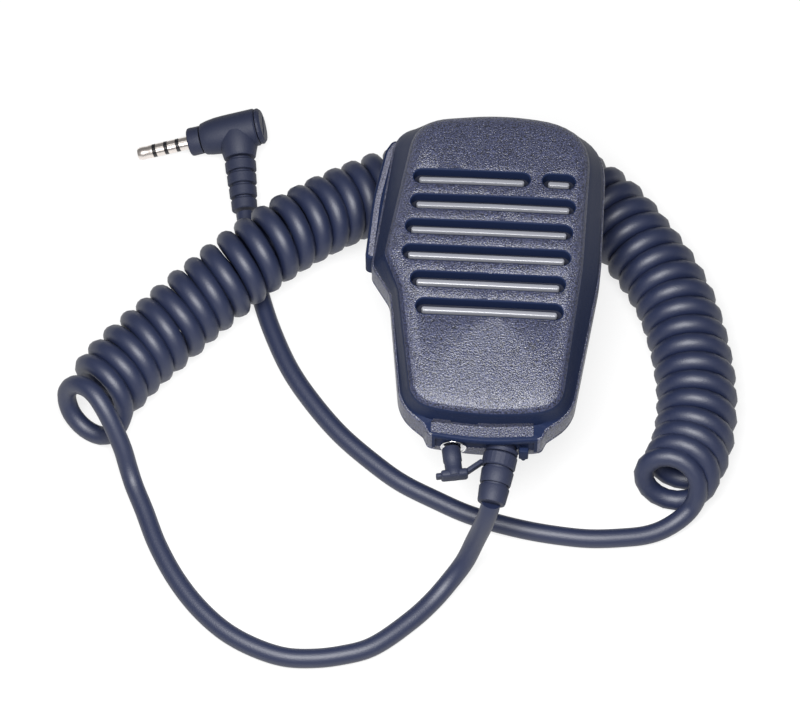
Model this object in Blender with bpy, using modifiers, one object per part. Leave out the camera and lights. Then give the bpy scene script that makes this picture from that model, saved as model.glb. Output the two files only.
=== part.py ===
"""Hand microphone for a handheld radio, lying on its belt clip with its curly cord around it.

Metres, +Z up. The origin is where the swivel axis of the belt clip meets the flat face that
the clip lies on. +Z points out of the grille, +Y to the top of the microphone, and the cord
leaves at -Y.
"""
import math

import bmesh
import bpy
from mathutils import Matrix, Vector

MM = 0.001

# Clearances
GAP = 0.3 * MM              # between pieces that touch
CUT = 1.0 * MM              # how far a cutter runs past the face it cuts

# Cord
CORD_DIAMETER = 4.6 * MM
COIL_DIAMETER = 20.4 * MM   # outside the turns
COIL_HEADROOM = 0.8 * MM    # from the coil to the back of the body

# Body, front to back
BODY_DEPTH = 27.8 * MM
BACK_SHELL_DEPTH = 10.3 * MM
RIM_HEIGHT = 6.5 * MM       # from the seam to the rim round the front
RIM_ROUND = 0.5 * MM
SHOULDER_FOOT = 0.8 * MM    # from the rim up to the foot of the shoulder
PANEL_HEIGHT = 2.4 * MM     # from the shoulder up to the crown of the panel
CROWN_RADIUS = 350 * MM     # of the panel along Y
CROWN_Y = 4.0 * MM
WALL = 2.0 * MM
FRONT_WALL = 3.2 * MM

BACK_Z = COIL_DIAMETER + COIL_HEADROOM
SEAM_Z = BACK_Z + BACK_SHELL_DEPTH
RIM_Z = SEAM_Z + RIM_HEIGHT
FRONT_Z = BACK_Z + BODY_DEPTH

# Body, seen from the front. Right side; the left is its mirror but for the cheek.
TOP_Y = 44.8 * MM
BOTTOM_Y = -46.9 * MM
HALF_WIDTH = 26.9 * MM
HIP_HALF_WIDTH = 0.785 * HALF_WIDTH
HIP_Y = -37.6 * MM
FOOT_HALF_WIDTH = 0.513 * HALF_WIDTH
HIP_ROUND = 1.3 * (HIP_HALF_WIDTH - FOOT_HALF_WIDTH)
TOP_ROUND = 0.595 * HALF_WIDTH
TOP_SWEEP = 2.2 * HALF_WIDTH    # radius of the shallow bow along the top
LOW_SHIFT = -0.5 * MM       # of the lower end from the middle
FOOT_LENGTH = 2.7 * MM
FOOT_BOW = 1.6 * MM         # the bottom bows out between its feet
CHEEK_X = -HALF_WIDTH - 3.7 * MM    # the cheek stands out on the left, under the talk bar
CHEEK_Y = 1.2 * MM
CHEEK_DROP = 8.0 * MM       # down to where the cheek has run back into the side
BAY_Y = -44.8 * MM          # wall between the feet that the cord leaves
BAY_HALF_WIDTH = FOOT_HALF_WIDTH - 1.8 * MM
BAY_RISE = 5.0 * MM         # of the bay's roof over the seam
BAY_DROP = 5.5 * MM         # of the bay's floor under the seam
STRIP_HALF_WIDTH = FOOT_HALF_WIDTH - 0.6 * MM
STRIP_DEPTH = 1.2 * MM

# Grille
SLOT_WIDTH = 3.9 * MM
SLOT_PITCH = 7.41 * MM
SLOT_TOP_Y = 21.6 * MM
SLOT_MARGINS = [            # of each row from the cheek's corner and from the right side
    (9.6 * MM, 19.2 * MM),
    (9.3 * MM, 7.8 * MM),
    (8.4 * MM, 8.3 * MM),
    (8.0 * MM, 8.6 * MM),
    (10.4 * MM, 9.6 * MM),
    (12.0 * MM, 9.9 * MM),
]
SLOT_ENDS = [(CHEEK_X + left, HALF_WIDTH - right) for left, right in SLOT_MARGINS]
MIC_SLOT_ENDS = (HALF_WIDTH - 15.9 * MM, HALF_WIDTH - 8.0 * MM)
CLOTH_THICKNESS = 0.6 * MM
CLOTH_MARGIN = 1.4 * MM

# Speaker
SPEAKER_X = -1.3 * MM
SPEAKER_Y = 3.0 * MM
SPEAKER_RADIUS = HALF_WIDTH - 9.3 * MM
SPEAKER_DEPTH = 6.2 * MM
SPEAKER_PLATE = 0.8 * MM
MAGNET_RADIUS = 8.5 * MM
MAGNET_DEPTH = 4.0 * MM
CONE_THICKNESS = 0.5 * MM

# Microphone capsule
CAPSULE_RADIUS = 3.0 * MM
CAPSULE_DEPTH = 2.7 * MM
BOOT_WALL = 1.0 * MM

# Circuit board
BOARD_THICKNESS = 1.2 * MM
BOARD_HALF_WIDTH = HALF_WIDTH - 8.6 * MM
BOARD_TOP_Y = 24.0 * MM
BOARD_BOTTOM_Y = -38.5 * MM
BOARD_NECK_Y = -27.0 * MM
BOARD_NECK_HALF_WIDTH = FOOT_HALF_WIDTH - 0.7 * MM
BOARD_POST_RADIUS = 1.8 * MM
BOARD_POST_X = HALF_WIDTH - 11.5 * MM
BOARD_POST_YS = (-14.0 * MM, 19.0 * MM)

# Shell screws
SCREW_RADIUS = 1.1 * MM
SCREW_HEAD_RADIUS = 2.2 * MM
SCREW_HEAD_DEPTH = 1.5 * MM
SCREW_RECESS = 0.4 * MM
SCREW_LENGTH = 17.0 * MM
SCREW_TOP = (HALF_WIDTH - 13.4 * MM, TOP_Y - 14.4 * MM)
SCREW_BOTTOM = (FOOT_HALF_WIDTH - 1.7 * MM, BOTTOM_Y + 19.9 * MM)
SCREW_PLACES = [(side * x, y) for x, y in (SCREW_TOP, SCREW_BOTTOM) for side in (1, -1)]
POST_WALL = 1.7 * MM

# Talk bar, laid out along the left side from the cheek's corner
BAR_START = 2.2 * MM
BAR_LENGTH = 35.8 * MM
BAR_HEIGHT = 8.0 * MM
BAR_BOTTOM = -2.7 * MM      # from the seam
BAR_PROUD = 2.0 * MM
BAR_BOW = 0.9 * MM
BAR_FLANGE = 1.2 * MM
BAR_LIP = 0.8 * MM          # how far the flange reaches above the bar
BAR_END_ROUND = 3.4 * MM    # the upper end follows the body's corner
BAR_TRAVEL = 1.2 * MM
SWITCH_S = 15.0 * MM        # place of the switch along the side
SWITCH_STEM_RADIUS = 1.3 * MM
SWITCH_STEM_LENGTH = 3.4 * MM
SWITCH_BODY = (5.2 * MM, 6.4 * MM, 4.8 * MM)
SWITCH_Z = -0.5 * MM        # from the seam

# Earphone jack
JACK_X = -8.0 * MM
JACK_BORE_RADIUS = 1.85 * MM
JACK_BARREL_RADIUS = 2.6 * MM
JACK_RING_RADIUS = 3.25 * MM
JACK_RING_DEPTH = 0.7 * MM
JACK_BODY = (7.4 * MM, 10.5 * MM, 6.4 * MM)
JACK_BORE_DEPTH = 8.0 * MM

# Strain relief of the cord at the microphone
RELIEF_START = Vector((3.9 * MM, BAY_Y, SEAM_Z))
RELIEF_END = Vector((1.35 * MM, -58.5 * MM, SEAM_Z - 2.8 * MM))
RELIEF_RADIUS = 4.1 * MM
RELIEF_END_RADIUS = 3.5 * MM
RELIEF_NECK_RADIUS = 3.2 * MM
RELIEF_GROOVE_RADIUS = 3.1 * MM
RELIEF_FLANGE_RADIUS = 4.4 * MM
RELIEF_FLANGE = 1.2 * MM
RELIEF_GROOVE = 0.6 * MM

# Dust plug on its strap
TETHER_START = 1.7 * MM     # along the strain relief
TETHER_LENGTH = 3.4 * MM
TETHER_WALL = 0.7 * MM
STEM_TOP = Vector((-8.8 * MM, -46.2 * MM, SEAM_Z))
STEM_END = Vector((-7.5 * MM, -51.9 * MM, SEAM_Z))
STEM_RADIUS = 1.85 * MM
SAUCER_RADIUS = 3.3 * MM
SAUCER_DEPTH = 1.5 * MM
TAB_LENGTH = 1.2 * MM
STRAP_WIDTH = 2.0 * MM
STRAP_THICKNESS = 1.1 * MM
STRAP_ROOT = Vector((-1.7 * MM, -48.9 * MM, SEAM_Z))

# Latch tongue in the bay
LATCH_X = BAY_HALF_WIDTH - 1.8 * MM
LATCH_SIZE = (2.4 * MM, 1.4 * MM, 4.0 * MM)
LATCH_PEG_RADIUS = 0.6 * MM
LATCH_PEG_LENGTH = 0.8 * MM

# Belt clip
CLIP_HALF_WIDTH = 10.5 * MM
CLIP_TOP_Y = 19.0 * MM
CLIP_BOTTOM_Y = -27.5 * MM
CLIP_PLATE = 2.4 * MM
CLIP_BOSS_RADIUS = 9.5 * MM
CLIP_BOSS_DEPTH = 3.1 * MM
CLIP_ROUND = 4.0 * MM
PIN_Y = 8.0 * MM
PIN_Z = 8.0 * MM
PIN_RADIUS = 1.1 * MM
EAR_INSET = 0.3 * MM        # from the plate's edge
EAR_THICKNESS = 1.8 * MM
EAR_RADIUS = 3.0 * MM
LEVER_HALF_WIDTH = 9.0 * MM
LEVER_THICKNESS = 2.4 * MM
LEVER_TOP_Y = 25.0 * MM
LEVER_BOTTOM_Y = -27.0 * MM
LUG_THICKNESS = 2.4 * MM
LUG_RADIUS = 2.6 * MM
JAW_THICKNESS = 2.0 * MM
SWIVEL_RADIUS = 1.6 * MM
SWIVEL_HEAD_RADIUS = 3.4 * MM
SWIVEL_HEAD_DEPTH = 1.8 * MM
SWIVEL_LENGTH = 6.4 * MM
PAD_RADIUS = 5.0 * MM
PAD_DEPTH = 3.0 * MM
SPRING_WIRE = 0.7 * MM
SPRING_RADIUS = 2.5 * MM
SPRING_TURNS = 4
SPRING_HALF_LENGTH = 4.4 * MM

# Plug: axis from the tip up to the cap, and down its neck
PLUG_TIP = Vector((-95.4 * MM, 53.2 * MM, 1.85 * MM))
PLUG_AXIS = Vector((0.958, 0.162, 0.236)).normalized()
NECK_AXIS = Vector((0.126, -0.968, -0.219)).normalized()
PIN_CONTACT_RADIUS = 1.75 * MM
PIN_CORE_RADIUS = 0.8 * MM
PIN_FIT = 0.1 * MM          # between contacts and insulators
TIP_LENGTH = 4.2 * MM
INSULATOR_LENGTH = 0.8 * MM
CONTACT_LENGTH = 2.2 * MM
SLEEVE_LENGTH = 5.0 * MM
PIN_LENGTH = 14.2 * MM      # of the pin outside the collar
COLLAR_RADIUS = 3.7 * MM
COLLAR_LENGTH = 3.3 * MM
BARREL_RADIUS = 4.95 * MM
BARREL_LENGTH = 15.1 * MM
BARREL_TAPER = 3.0 * MM
CAP_RADIUS = 4.75 * MM
CAP_DEPTH = 1.2 * MM
CAP_SLOT_WIDTH = 1.0 * MM
CAP_SLOT_DEPTH = 0.4 * MM
NECK_PLACE = 28.0 * MM      # along the plug's axis from the tip
NECK_RADIUS = 4.3 * MM
NECK_LENGTH = 7.6 * MM
TAIL_RELIEF_LENGTH = 14.2 * MM
TAIL_RELIEF_RADIUS = 4.0 * MM
TAIL_RELIEF_END_RADIUS = 3.15 * MM
TAIL_RELIEF_GROOVE_RADIUS = 2.9 * MM

# Cord routes, chosen by hand: lead from the microphone, coil, tail to the plug
LEAD_ROUTE = [(1.0, -60.3, 28.2), (-0.4, -62.4, 23.6), (-3.4, -65.0, 13.6), (-7.0, -68.2, 7.4),
              (-11.5, -72.6, 3.6), (-16.3, -77.4, 2.4), (-26.2, -85.0, 2.4), (-33.4, -87.7, 2.4),
              (-39.9, -88.8, 2.4), (-46.8, -88.8, 2.4), (-54.3, -87.0, 2.4), (-61.9, -83.4, 2.4),
              (-69.0, -77.8, 2.4), (-75.3, -70.4, 2.4), (-81.0, -61.1, 2.6), (-85.6, -50.9, 3.6),
              (-89.3, -42.9, 6.6), (-93.3, -35.6, 10.8)]
COIL_ROUTE = [(-100.5, -27.9, 10.3), (-97.2, -23.0, 10.3), (-88.2, -10.4, 10.4),
              (-82.6, -4.8, 10.8), (-76.9, 1.1, 11.6), (-71.1, 6.1, 13.0), (-65.3, 11.6, 14.8),
              (-59.6, 17.2, 15.5), (-53.8, 22.9, 15.2), (-48.0, 28.1, 14.2), (-42.1, 32.8, 12.7),
              (-36.2, 36.8, 11.1), (-29.3, 40.5, 10.3), (-17.1, 44.6, 10.3), (-3.1, 47.1, 10.3),
              (10.0, 46.8, 10.3), (20.5, 43.2, 10.3), (29.4, 36.2, 10.3), (36.4, 27.1, 10.3),
              (42.2, 18.7, 10.3), (46.7, 9.8, 10.3), (50.6, -4.1, 10.3), (52.3, -17.4, 10.3),
              (51.5, -28.9, 10.3), (48.8, -37.1, 10.3), (46.4, -41.0, 10.3)]
TAIL_ROUTE = [(52.8, -47.0, 4.4), (50.6, -48.7, 3.5), (47.2, -50.6, 2.6), (42.6, -52.0, 2.4),
              (36.4, -53.1, 2.4), (26.8, -53.7, 2.4), (19.3, -53.3, 2.4), (9.3, -51.9, 2.4),
              (-3.3, -48.6, 2.4), (-12.2, -45.0, 2.4), (-21.2, -40.3, 2.4), (-29.1, -34.6, 2.4),
              (-37.1, -27.4, 2.4), (-44.7, -18.8, 2.4), (-50.9, -9.4, 2.4), (-56.1, 0.8, 2.4),
              (-59.7, 10.6, 2.4), (-62.6, 20.6, 2.4), (-64.6, 29.0, 2.6), (-65.8, 35.8, 3.5)]
CORD_STEP = 11.0 * MM       # between the points of a cord tube
COIL_STEP = 9.0 * MM

SEGMENTS = 24               # round a turned piece
CORNER_STEPS = 3            # points along each rounded corner, less one

PARTS = bpy.data.collections.new("hand_microphone")
GUIDES = bpy.data.collections.new("guides")
MATERIALS = {}


# ---------------------------------------------------------------- scene and materials

def start_scene():
    """Empty the scene and link the two collections."""
    for obj in list(bpy.data.objects):
        bpy.data.objects.remove(obj, do_unlink=True)
    bpy.context.scene.collection.children.link(PARTS)
    bpy.context.scene.collection.children.link(GUIDES)


def make_material(name, colour, roughness, metallic=0.0):
    material = bpy.data.materials.new(name)
    material.use_nodes = True
    shader = material.node_tree.nodes["Principled BSDF"]
    shader.inputs["Base Color"].default_value = (*colour, 1.0)
    shader.inputs["Roughness"].default_value = roughness
    shader.inputs["Metallic"].default_value = metallic
    MATERIALS[name] = material


def make_materials():
    make_material("shell_plastic", (0.055, 0.055, 0.085), 0.55)
    make_material("satin_rubber", (0.035, 0.035, 0.060), 0.42)
    make_material("grille_cloth", (0.22, 0.22, 0.25), 0.8)
    make_material("clip_plastic", (0.03, 0.03, 0.045), 0.45)
    make_material("nickel", (0.78, 0.74, 0.70), 0.2, 1.0)
    make_material("steel", (0.55, 0.55, 0.56), 0.3, 1.0)
    make_material("magnet_steel", (0.32, 0.32, 0.34), 0.4, 1.0)
    make_material("cone_paper", (0.10, 0.09, 0.08), 0.85)
    make_material("board_laminate", (0.03, 0.18, 0.08), 0.5)
    make_material("insulator", (0.01, 0.01, 0.012), 0.4)


# ---------------------------------------------------------------- building blocks

def add_object(name, mesh, material=None, smooth=True):
    """A part when it has a material, otherwise a guide for a Boolean."""
    obj = bpy.data.objects.new(name, mesh)
    if material:
        mesh.materials.append(MATERIALS[material])
        PARTS.objects.link(obj)
        if smooth:
            mesh.shade_smooth()
            mesh.set_sharp_from_angle(angle=math.radians(35))
    else:
        GUIDES.objects.link(obj)
        obj.hide_render = True
        obj.display_type = "WIRE"
    return obj


def mesh_from(bm, name):
    bmesh.ops.recalc_face_normals(bm, faces=bm.faces)
    mesh = bpy.data.meshes.new(name)
    bm.to_mesh(mesh)
    bm.free()
    return mesh


def combine(obj, guide, operation):
    """Cut or join a guide's shape into a part."""
    modifier = obj.modifiers.new(guide.name, "BOOLEAN")
    modifier.operation = operation
    modifier.solver = "EXACT"
    modifier.object = guide
    return obj


def cut(obj, guide):
    return combine(obj, guide, "DIFFERENCE")


def join(obj, guide):
    return combine(obj, guide, "UNION")


def directions(corners, i):
    """Directions into and out of a corner, and the turn between them, left turns positive."""
    corner = Vector(corners[i][:2])
    before = (corner - Vector(corners[i - 1][:2])).normalized()
    after = (Vector(corners[(i + 1) % len(corners)][:2]) - corner).normalized()
    turn = math.atan2(before.x * after.y - before.y * after.x, before.dot(after))
    return before, after, turn


def rounded(corners, steps=CORNER_STEPS):
    """Points of a closed outline whose corners are (x, y, radius)."""
    points = []
    for i, (x, y, radius) in enumerate(corners):
        before, after, turn = directions(corners, i)
        corner = Vector((x, y))
        reach = radius * math.tan(abs(turn) / 2)
        for step in range(steps + 1):
            t = step / steps
            points.append(corner + after * reach * t * t - before * reach * (1 - t) ** 2)
    return points


def inset(corners, distance, least=0.5 * MM):
    """Corners of the same outline, counter-clockwise, with every side moved in by distance."""
    moved = []
    for i, (x, y, radius) in enumerate(corners):
        before, after, turn = directions(corners, i)
        inward = Vector((-before.y - after.y, before.x + after.x))
        shift = inward * distance / (1 + before.dot(after))
        change = -distance if turn > 0 else distance
        moved.append((x + shift.x, y + shift.y, max(radius + change, least)))
    return moved


def mix(first, second, share):
    """Outline points part of the way from the first outline to the second."""
    return [a.lerp(b, share) for a, b in zip(first, second)]


def level(points, z):
    return [Vector((p.x, p.y, z)) for p in points]


def loft(rings, name):
    """Closed mesh through rings of equally many points, from the lowest to the highest."""
    bm = bmesh.new()
    rows = [[bm.verts.new(point) for point in ring] for ring in rings]
    count = len(rows[0])
    for low, high in zip(rows, rows[1:]):
        for i in range(count):
            j = (i + 1) % count
            bm.faces.new((low[i], low[j], high[j], high[i]))
    caps = [bm.faces.new(reversed(rows[0])), bm.faces.new(rows[-1])]
    bent = [cap for cap, ring in zip(caps, (rings[0], rings[-1]))
            if max(p.z for p in ring) - min(p.z for p in ring) > 0.001 * MM]
    bmesh.ops.triangulate(bm, faces=bent)
    return mesh_from(bm, name)


def prism(outline, low, high, name):
    return loft([level(outline, low), level(outline, high)], name)


def rectangle(x_low, x_high, y_low, y_high, reach):
    return [(x_low, y_low, reach), (x_high, y_low, reach),
            (x_high, y_high, reach), (x_low, y_high, reach)]


def block(size, centre, name):
    bm = bmesh.new()
    bmesh.ops.create_cube(bm, size=1.0)
    bmesh.ops.scale(bm, vec=size, verts=bm.verts)
    bmesh.ops.translate(bm, vec=centre, verts=bm.verts)
    return mesh_from(bm, name)


def rod_between(start, end, radius, name, end_radius=None, segments=SEGMENTS):
    """Cylinder, or cone with its own end radius, from one point to another."""
    axis = end - start
    bm = bmesh.new()
    bmesh.ops.create_cone(bm, cap_ends=True, segments=segments, radius1=radius,
                          radius2=end_radius or radius, depth=axis.length)
    turn = Vector((0, 0, 1)).rotation_difference(axis).to_matrix()
    bmesh.ops.rotate(bm, cent=(0, 0, 0), matrix=turn, verts=bm.verts)
    bmesh.ops.translate(bm, vec=(start + end) / 2, verts=bm.verts)
    return mesh_from(bm, name)


def turned(name, profile, start, axis, material=None, segments=SEGMENTS):
    """Solid of revolution: (radius, height along the axis) from the top down the outer side.

    A profile that starts off the axis is closed into a ring.
    """
    points = list(profile)
    if points[0][0] > 0:
        points.append(points[0])
    mesh = bpy.data.meshes.new(name)
    edges = [(i, i + 1) for i in range(len(points) - 1)]
    mesh.from_pydata([(radius, 0, height) for radius, height in points], edges, [])
    obj = add_object(name, mesh, material, smooth=False)
    obj.location = start
    obj.rotation_mode = "QUATERNION"
    obj.rotation_quaternion = Vector((0, 0, 1)).rotation_difference(axis)
    screw = obj.modifiers.new("turn", "SCREW")
    screw.steps = segments
    screw.render_steps = segments
    screw.use_merge_vertices = True
    screw.merge_threshold = 0.00001
    screw.use_smooth_shade = False
    return obj


def smooth_route(points, step):
    """Evenly spaced points along a smooth curve through the given ones, which are in millimetres."""
    knots = [Vector(point) * MM for point in points]
    ends = [knots[0] * 2 - knots[1], *knots, knots[-1] * 2 - knots[-2]]
    fine = []
    for a, b, c, d in zip(ends, ends[1:], ends[2:], ends[3:]):
        for i in range(20):
            t = i / 20
            fine.append(0.5 * (2 * b + (c - a) * t + (2 * a - 5 * b + 4 * c - d) * t ** 2
                               + (3 * b - a - 3 * c + d) * t ** 3))
    fine.append(knots[-1])
    length = sum((b - a).length for a, b in zip(fine, fine[1:]))
    count = max(2, round(length / step))
    even = [fine[0]]
    walked, wanted = 0.0, length / count
    for a, b in zip(fine, fine[1:]):
        span = (b - a).length
        while len(even) < count and walked + span >= wanted:
            even.append(a.lerp(b, (wanted - walked) / span))
            wanted += length / count
        walked += span
    even.append(fine[-1])
    return even


def tube(name, points, radius, material, resolution=2):
    """Round tube along a list of points."""
    curve = bpy.data.curves.new(name, "CURVE")
    curve.dimensions = "3D"
    curve.bevel_depth = radius
    curve.bevel_resolution = resolution
    curve.use_fill_caps = True
    spline = curve.splines.new("POLY")
    spline.points.add(len(points) - 1)
    for point, place in zip(spline.points, points):
        point.co = (*place, 1.0)
    curve.materials.append(MATERIALS[material])
    obj = bpy.data.objects.new(name, curve)
    PARTS.objects.link(obj)
    return obj


# ---------------------------------------------------------------- outlines of the body

def both_sides(low):
    """Corners of the lower end on the right and on the left, a little left of the middle."""
    right = [(x + LOW_SHIFT, y, reach) for x, y, reach in low]
    left = [(-x + LOW_SHIFT, y, reach) for x, y, reach in reversed(low)]
    return right, left


def body_corners(foot_y=BOTTOM_Y + FOOT_BOW, bow=FOOT_BOW):
    """Widest outline of the body, at the seam and the rim."""
    low, low_left = both_sides([
        (FOOT_HALF_WIDTH, foot_y, 1.8 * MM),
        (FOOT_HALF_WIDTH + 1.2 * MM, BOTTOM_Y + FOOT_BOW + FOOT_LENGTH, 1.2 * MM),
        (HIP_HALF_WIDTH, HIP_Y, 1.25 * HIP_ROUND)])
    return [(0, foot_y - bow, 60 * MM), *low,
            (HALF_WIDTH - 0.5 * MM, 2.0 * MM, 60 * MM),
            (HALF_WIDTH, TOP_Y - 2.2 * MM, TOP_ROUND),
            (0, TOP_Y, TOP_SWEEP),
            (CHEEK_X + 4.3 * MM, TOP_Y - 3.2 * MM, 8.5 * MM),
            (CHEEK_X, CHEEK_Y, 4.0 * MM),
            (CHEEK_X + 5.1 * MM, CHEEK_Y - CHEEK_DROP, 6.0 * MM),
            *low_left]


def shoulder_corners():
    """Foot of the shoulder, on the rim: close to the side, well in from the feet."""
    low, low_left = both_sides([
        (FOOT_HALF_WIDTH - 5.8 * MM, BOTTOM_Y + 4.2 * MM, 2.0 * MM),
        (FOOT_HALF_WIDTH - 1.4 * MM, BOTTOM_Y + 4.7 * MM, 3.0 * MM),
        (HIP_HALF_WIDTH - 1.2 * MM, HIP_Y - 1.6 * MM, HIP_ROUND)])
    return [(0, BOTTOM_Y + 3.7 * MM, 60 * MM), *low,
            (HALF_WIDTH - 1.1 * MM, 2.0 * MM, 60 * MM),
            (HALF_WIDTH - 0.6 * MM, TOP_Y - 2.7 * MM, TOP_ROUND - 0.5 * MM),
            (0, TOP_Y - 0.6 * MM, TOP_SWEEP),
            (CHEEK_X + 4.8 * MM, TOP_Y - 3.8 * MM, 8.5 * MM),
            (CHEEK_X + 0.6 * MM, CHEEK_Y - 0.2 * MM, 4.0 * MM),
            (CHEEK_X + 5.6 * MM, CHEEK_Y - CHEEK_DROP - 0.6 * MM, 6.5 * MM),
            *low_left]


def panel_corners():
    """Edge of the grained panel, at the top of the shoulder."""
    low, low_left = both_sides([
        (FOOT_HALF_WIDTH - 5.8 * MM, BOTTOM_Y + 5.0 * MM, 2.0 * MM),
        (FOOT_HALF_WIDTH - 1.8 * MM, BOTTOM_Y + 5.6 * MM, 2.0 * MM),
        (HIP_HALF_WIDTH - 3.0 * MM, HIP_Y - 2.4 * MM, 0.75 * HIP_ROUND)])
    return [(0, BOTTOM_Y + 4.5 * MM, 60 * MM), *low,
            (HALF_WIDTH - 5.3 * MM, -2.0 * MM, 60 * MM),
            (HALF_WIDTH - 3.9 * MM, TOP_Y - 5.0 * MM, TOP_ROUND - 1.0 * MM),
            (0, TOP_Y - 2.3 * MM, TOP_SWEEP),
            (CHEEK_X + 9.3 * MM, TOP_Y - 5.2 * MM, 11.0 * MM),
            (CHEEK_X + 3.4 * MM, CHEEK_Y - 1.6 * MM, 5.0 * MM),
            (CHEEK_X + 7.4 * MM, CHEEK_Y - CHEEK_DROP - 3.2 * MM, 10.0 * MM),
            *low_left]


def back_corners():
    """Flat of the back, inside its rounded edge."""
    low, low_left = both_sides([
        (FOOT_HALF_WIDTH - 7.8 * MM, BOTTOM_Y + 9.6 * MM, 2.0 * MM),
        (FOOT_HALF_WIDTH - 3.8 * MM, BOTTOM_Y + 9.9 * MM, 2.0 * MM),
        (HIP_HALF_WIDTH - 6.6 * MM, HIP_Y + 1.6 * MM, 0.63 * HIP_ROUND)])
    return [(0, BOTTOM_Y + 9.4 * MM, 60 * MM), *low,
            (HALF_WIDTH - 8.7 * MM, 2.0 * MM, 60 * MM),
            (HALF_WIDTH - 8.1 * MM, TOP_Y - 8.4 * MM, TOP_ROUND / 2),
            (0, TOP_Y - 7.6 * MM, TOP_SWEEP),
            (CHEEK_X + 12.2 * MM, TOP_Y - 8.7 * MM, 8.0 * MM),
            (CHEEK_X + 9.8 * MM, CHEEK_Y - 1.2 * MM, 5.0 * MM),
            (CHEEK_X + 12.4 * MM, CHEEK_Y - CHEEK_DROP - 1.2 * MM, 8.0 * MM),
            *low_left]


def crown(y):
    """How far the front has dropped at y below its crown."""
    return (y - CROWN_Y) ** 2 / (2 * CROWN_RADIUS)


def crowned(points, z):
    """Ring at height z, lowered with the crown the more the nearer it is to the front."""
    share = max(0.0, (z - RIM_Z) / (FRONT_Z - RIM_Z))
    return [Vector((p.x, p.y, z - crown(p.y) * share)) for p in points]


def spine(points, share=0.92):
    """The ring shrunk most of the way to the line x = 0, which leaves a narrow crowned strip."""
    return [Vector((p.x * (1 - share), p.y * 0.5)) for p in points]


# ---------------------------------------------------------------- shells

def front_rings(shoulder, panel, top_z, foot_z):
    """Rings of the front from the shoulder's foot up over the panel."""
    shoulder_z = top_z - PANEL_HEIGHT
    inner = rounded(inset(panel, 5.0 * MM))
    return [crowned(rounded(shoulder), foot_z),
            crowned(rounded(panel), shoulder_z),
            crowned(rounded(inset(panel, 0.9 * MM)), shoulder_z + 1.3 * MM),
            crowned(rounded(inset(panel, 2.6 * MM)), shoulder_z + 2.1 * MM),
            crowned(inner, top_z),
            crowned(mix(inner, spine(inner), 0.5), top_z),
            crowned(spine(inner), top_z)]


def slot_cutter():
    """All the slots of the grille as one guide."""
    bm = bmesh.new()
    rows = [(ends, SLOT_TOP_Y - SLOT_PITCH * row) for row, ends in enumerate(SLOT_ENDS)]
    rows.append((MIC_SLOT_ENDS, SLOT_TOP_Y))
    for (left, right), y in rows:
        half = SLOT_WIDTH / 2
        corners = rectangle(left, right, y - half, y + half, half * 0.99)
        outline = rounded(corners, 4)
        slot = prism(outline, FRONT_Z - FRONT_WALL - CUT, FRONT_Z + CUT, "slot")
        bm.from_mesh(slot)
        bpy.data.meshes.remove(slot)
    return add_object("slots_guide", mesh_from(bm, "slots_guide"))


def group_of_rods(places, low, high, radius, name, segments=16):
    """Upright rods as one guide."""
    bm = bmesh.new()
    for x, y in places:
        rod = rod_between(Vector((x, y, low)), Vector((x, y, high)), radius, "rod",
                          segments=segments)
        bm.from_mesh(rod)
        bpy.data.meshes.remove(rod)
    return add_object(name, mesh_from(bm, name))


def side_frame():
    """Corner of the cheek, direction along the left side and direction out of it."""
    corners = body_corners()
    top, cheek = corners[7], corners[8]
    along = (Vector(top[:2]) - Vector(cheek[:2])).normalized()
    return Vector(cheek[:2]), along, Vector((-along.y, along.x))


def side_place(s, out, z=0.0):
    """Point at s along the left side and out from it."""
    corner, along, outward = side_frame()
    point = corner + along * s + outward * out
    return Vector((point.x, point.y, z))


def side_slab(s_low, s_high, out_low, out_high, low, high, reach, name):
    """Slab laid along the left side."""
    places = [(s_low, out_low), (s_high, out_low), (s_high, out_high), (s_low, out_high)]
    corners = [(*side_place(s, out).xy, reach) for s, out in places]
    return prism(rounded(corners, 2), low, high, name)


def window_guide():
    """Window for the talk bar, through the wall of both shells."""
    return add_object("window_guide", side_slab(
        BAR_START - GAP, BAR_START + BAR_LENGTH + GAP, -WALL - 2.6 * MM, 3 * CUT,
        SEAM_Z + BAR_BOTTOM - GAP, SEAM_Z + BAR_BOTTOM + BAR_HEIGHT + GAP, 0.2 * MM,
        "window_guide"))


def bay_guides():
    """Bay between the feet, and the two round holes in its wall."""
    bay = block((2 * BAY_HALF_WIDTH, 6 * MM, BAY_RISE + BAY_DROP),
                (LOW_SHIFT, BAY_Y - 3 * MM, SEAM_Z + (BAY_RISE - BAY_DROP) / 2), "bay_guide")
    holes = []
    for name, x, radius in (("jack_hole", JACK_X, JACK_BARREL_RADIUS + GAP),
                            ("relief_hole", RELIEF_START.x, RELIEF_NECK_RADIUS + GAP)):
        holes.append(add_object(name, rod_between(
            Vector((x, BAY_Y - CUT, SEAM_Z)), Vector((x, BAY_Y + WALL + CUT, SEAM_Z)),
            radius, name)))
    width, depth, height = JACK_BODY
    pocket = block((width + 2 * GAP, depth + 2 * GAP, height + 2 * GAP),
                   (JACK_X, BAY_Y + WALL + GAP + depth / 2, SEAM_Z), "jack_pocket")
    inside = BAY_Y + WALL
    holes.append(add_object("relief_pocket", rod_between(
        Vector((RELIEF_START.x, inside, SEAM_Z)),
        Vector((RELIEF_START.x, inside + RELIEF_FLANGE + 2 * GAP, SEAM_Z)),
        RELIEF_FLANGE_RADIUS + GAP, "relief_pocket")))
    return [add_object("bay_guide", bay), add_object("jack_pocket", pocket), *holes]


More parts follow.
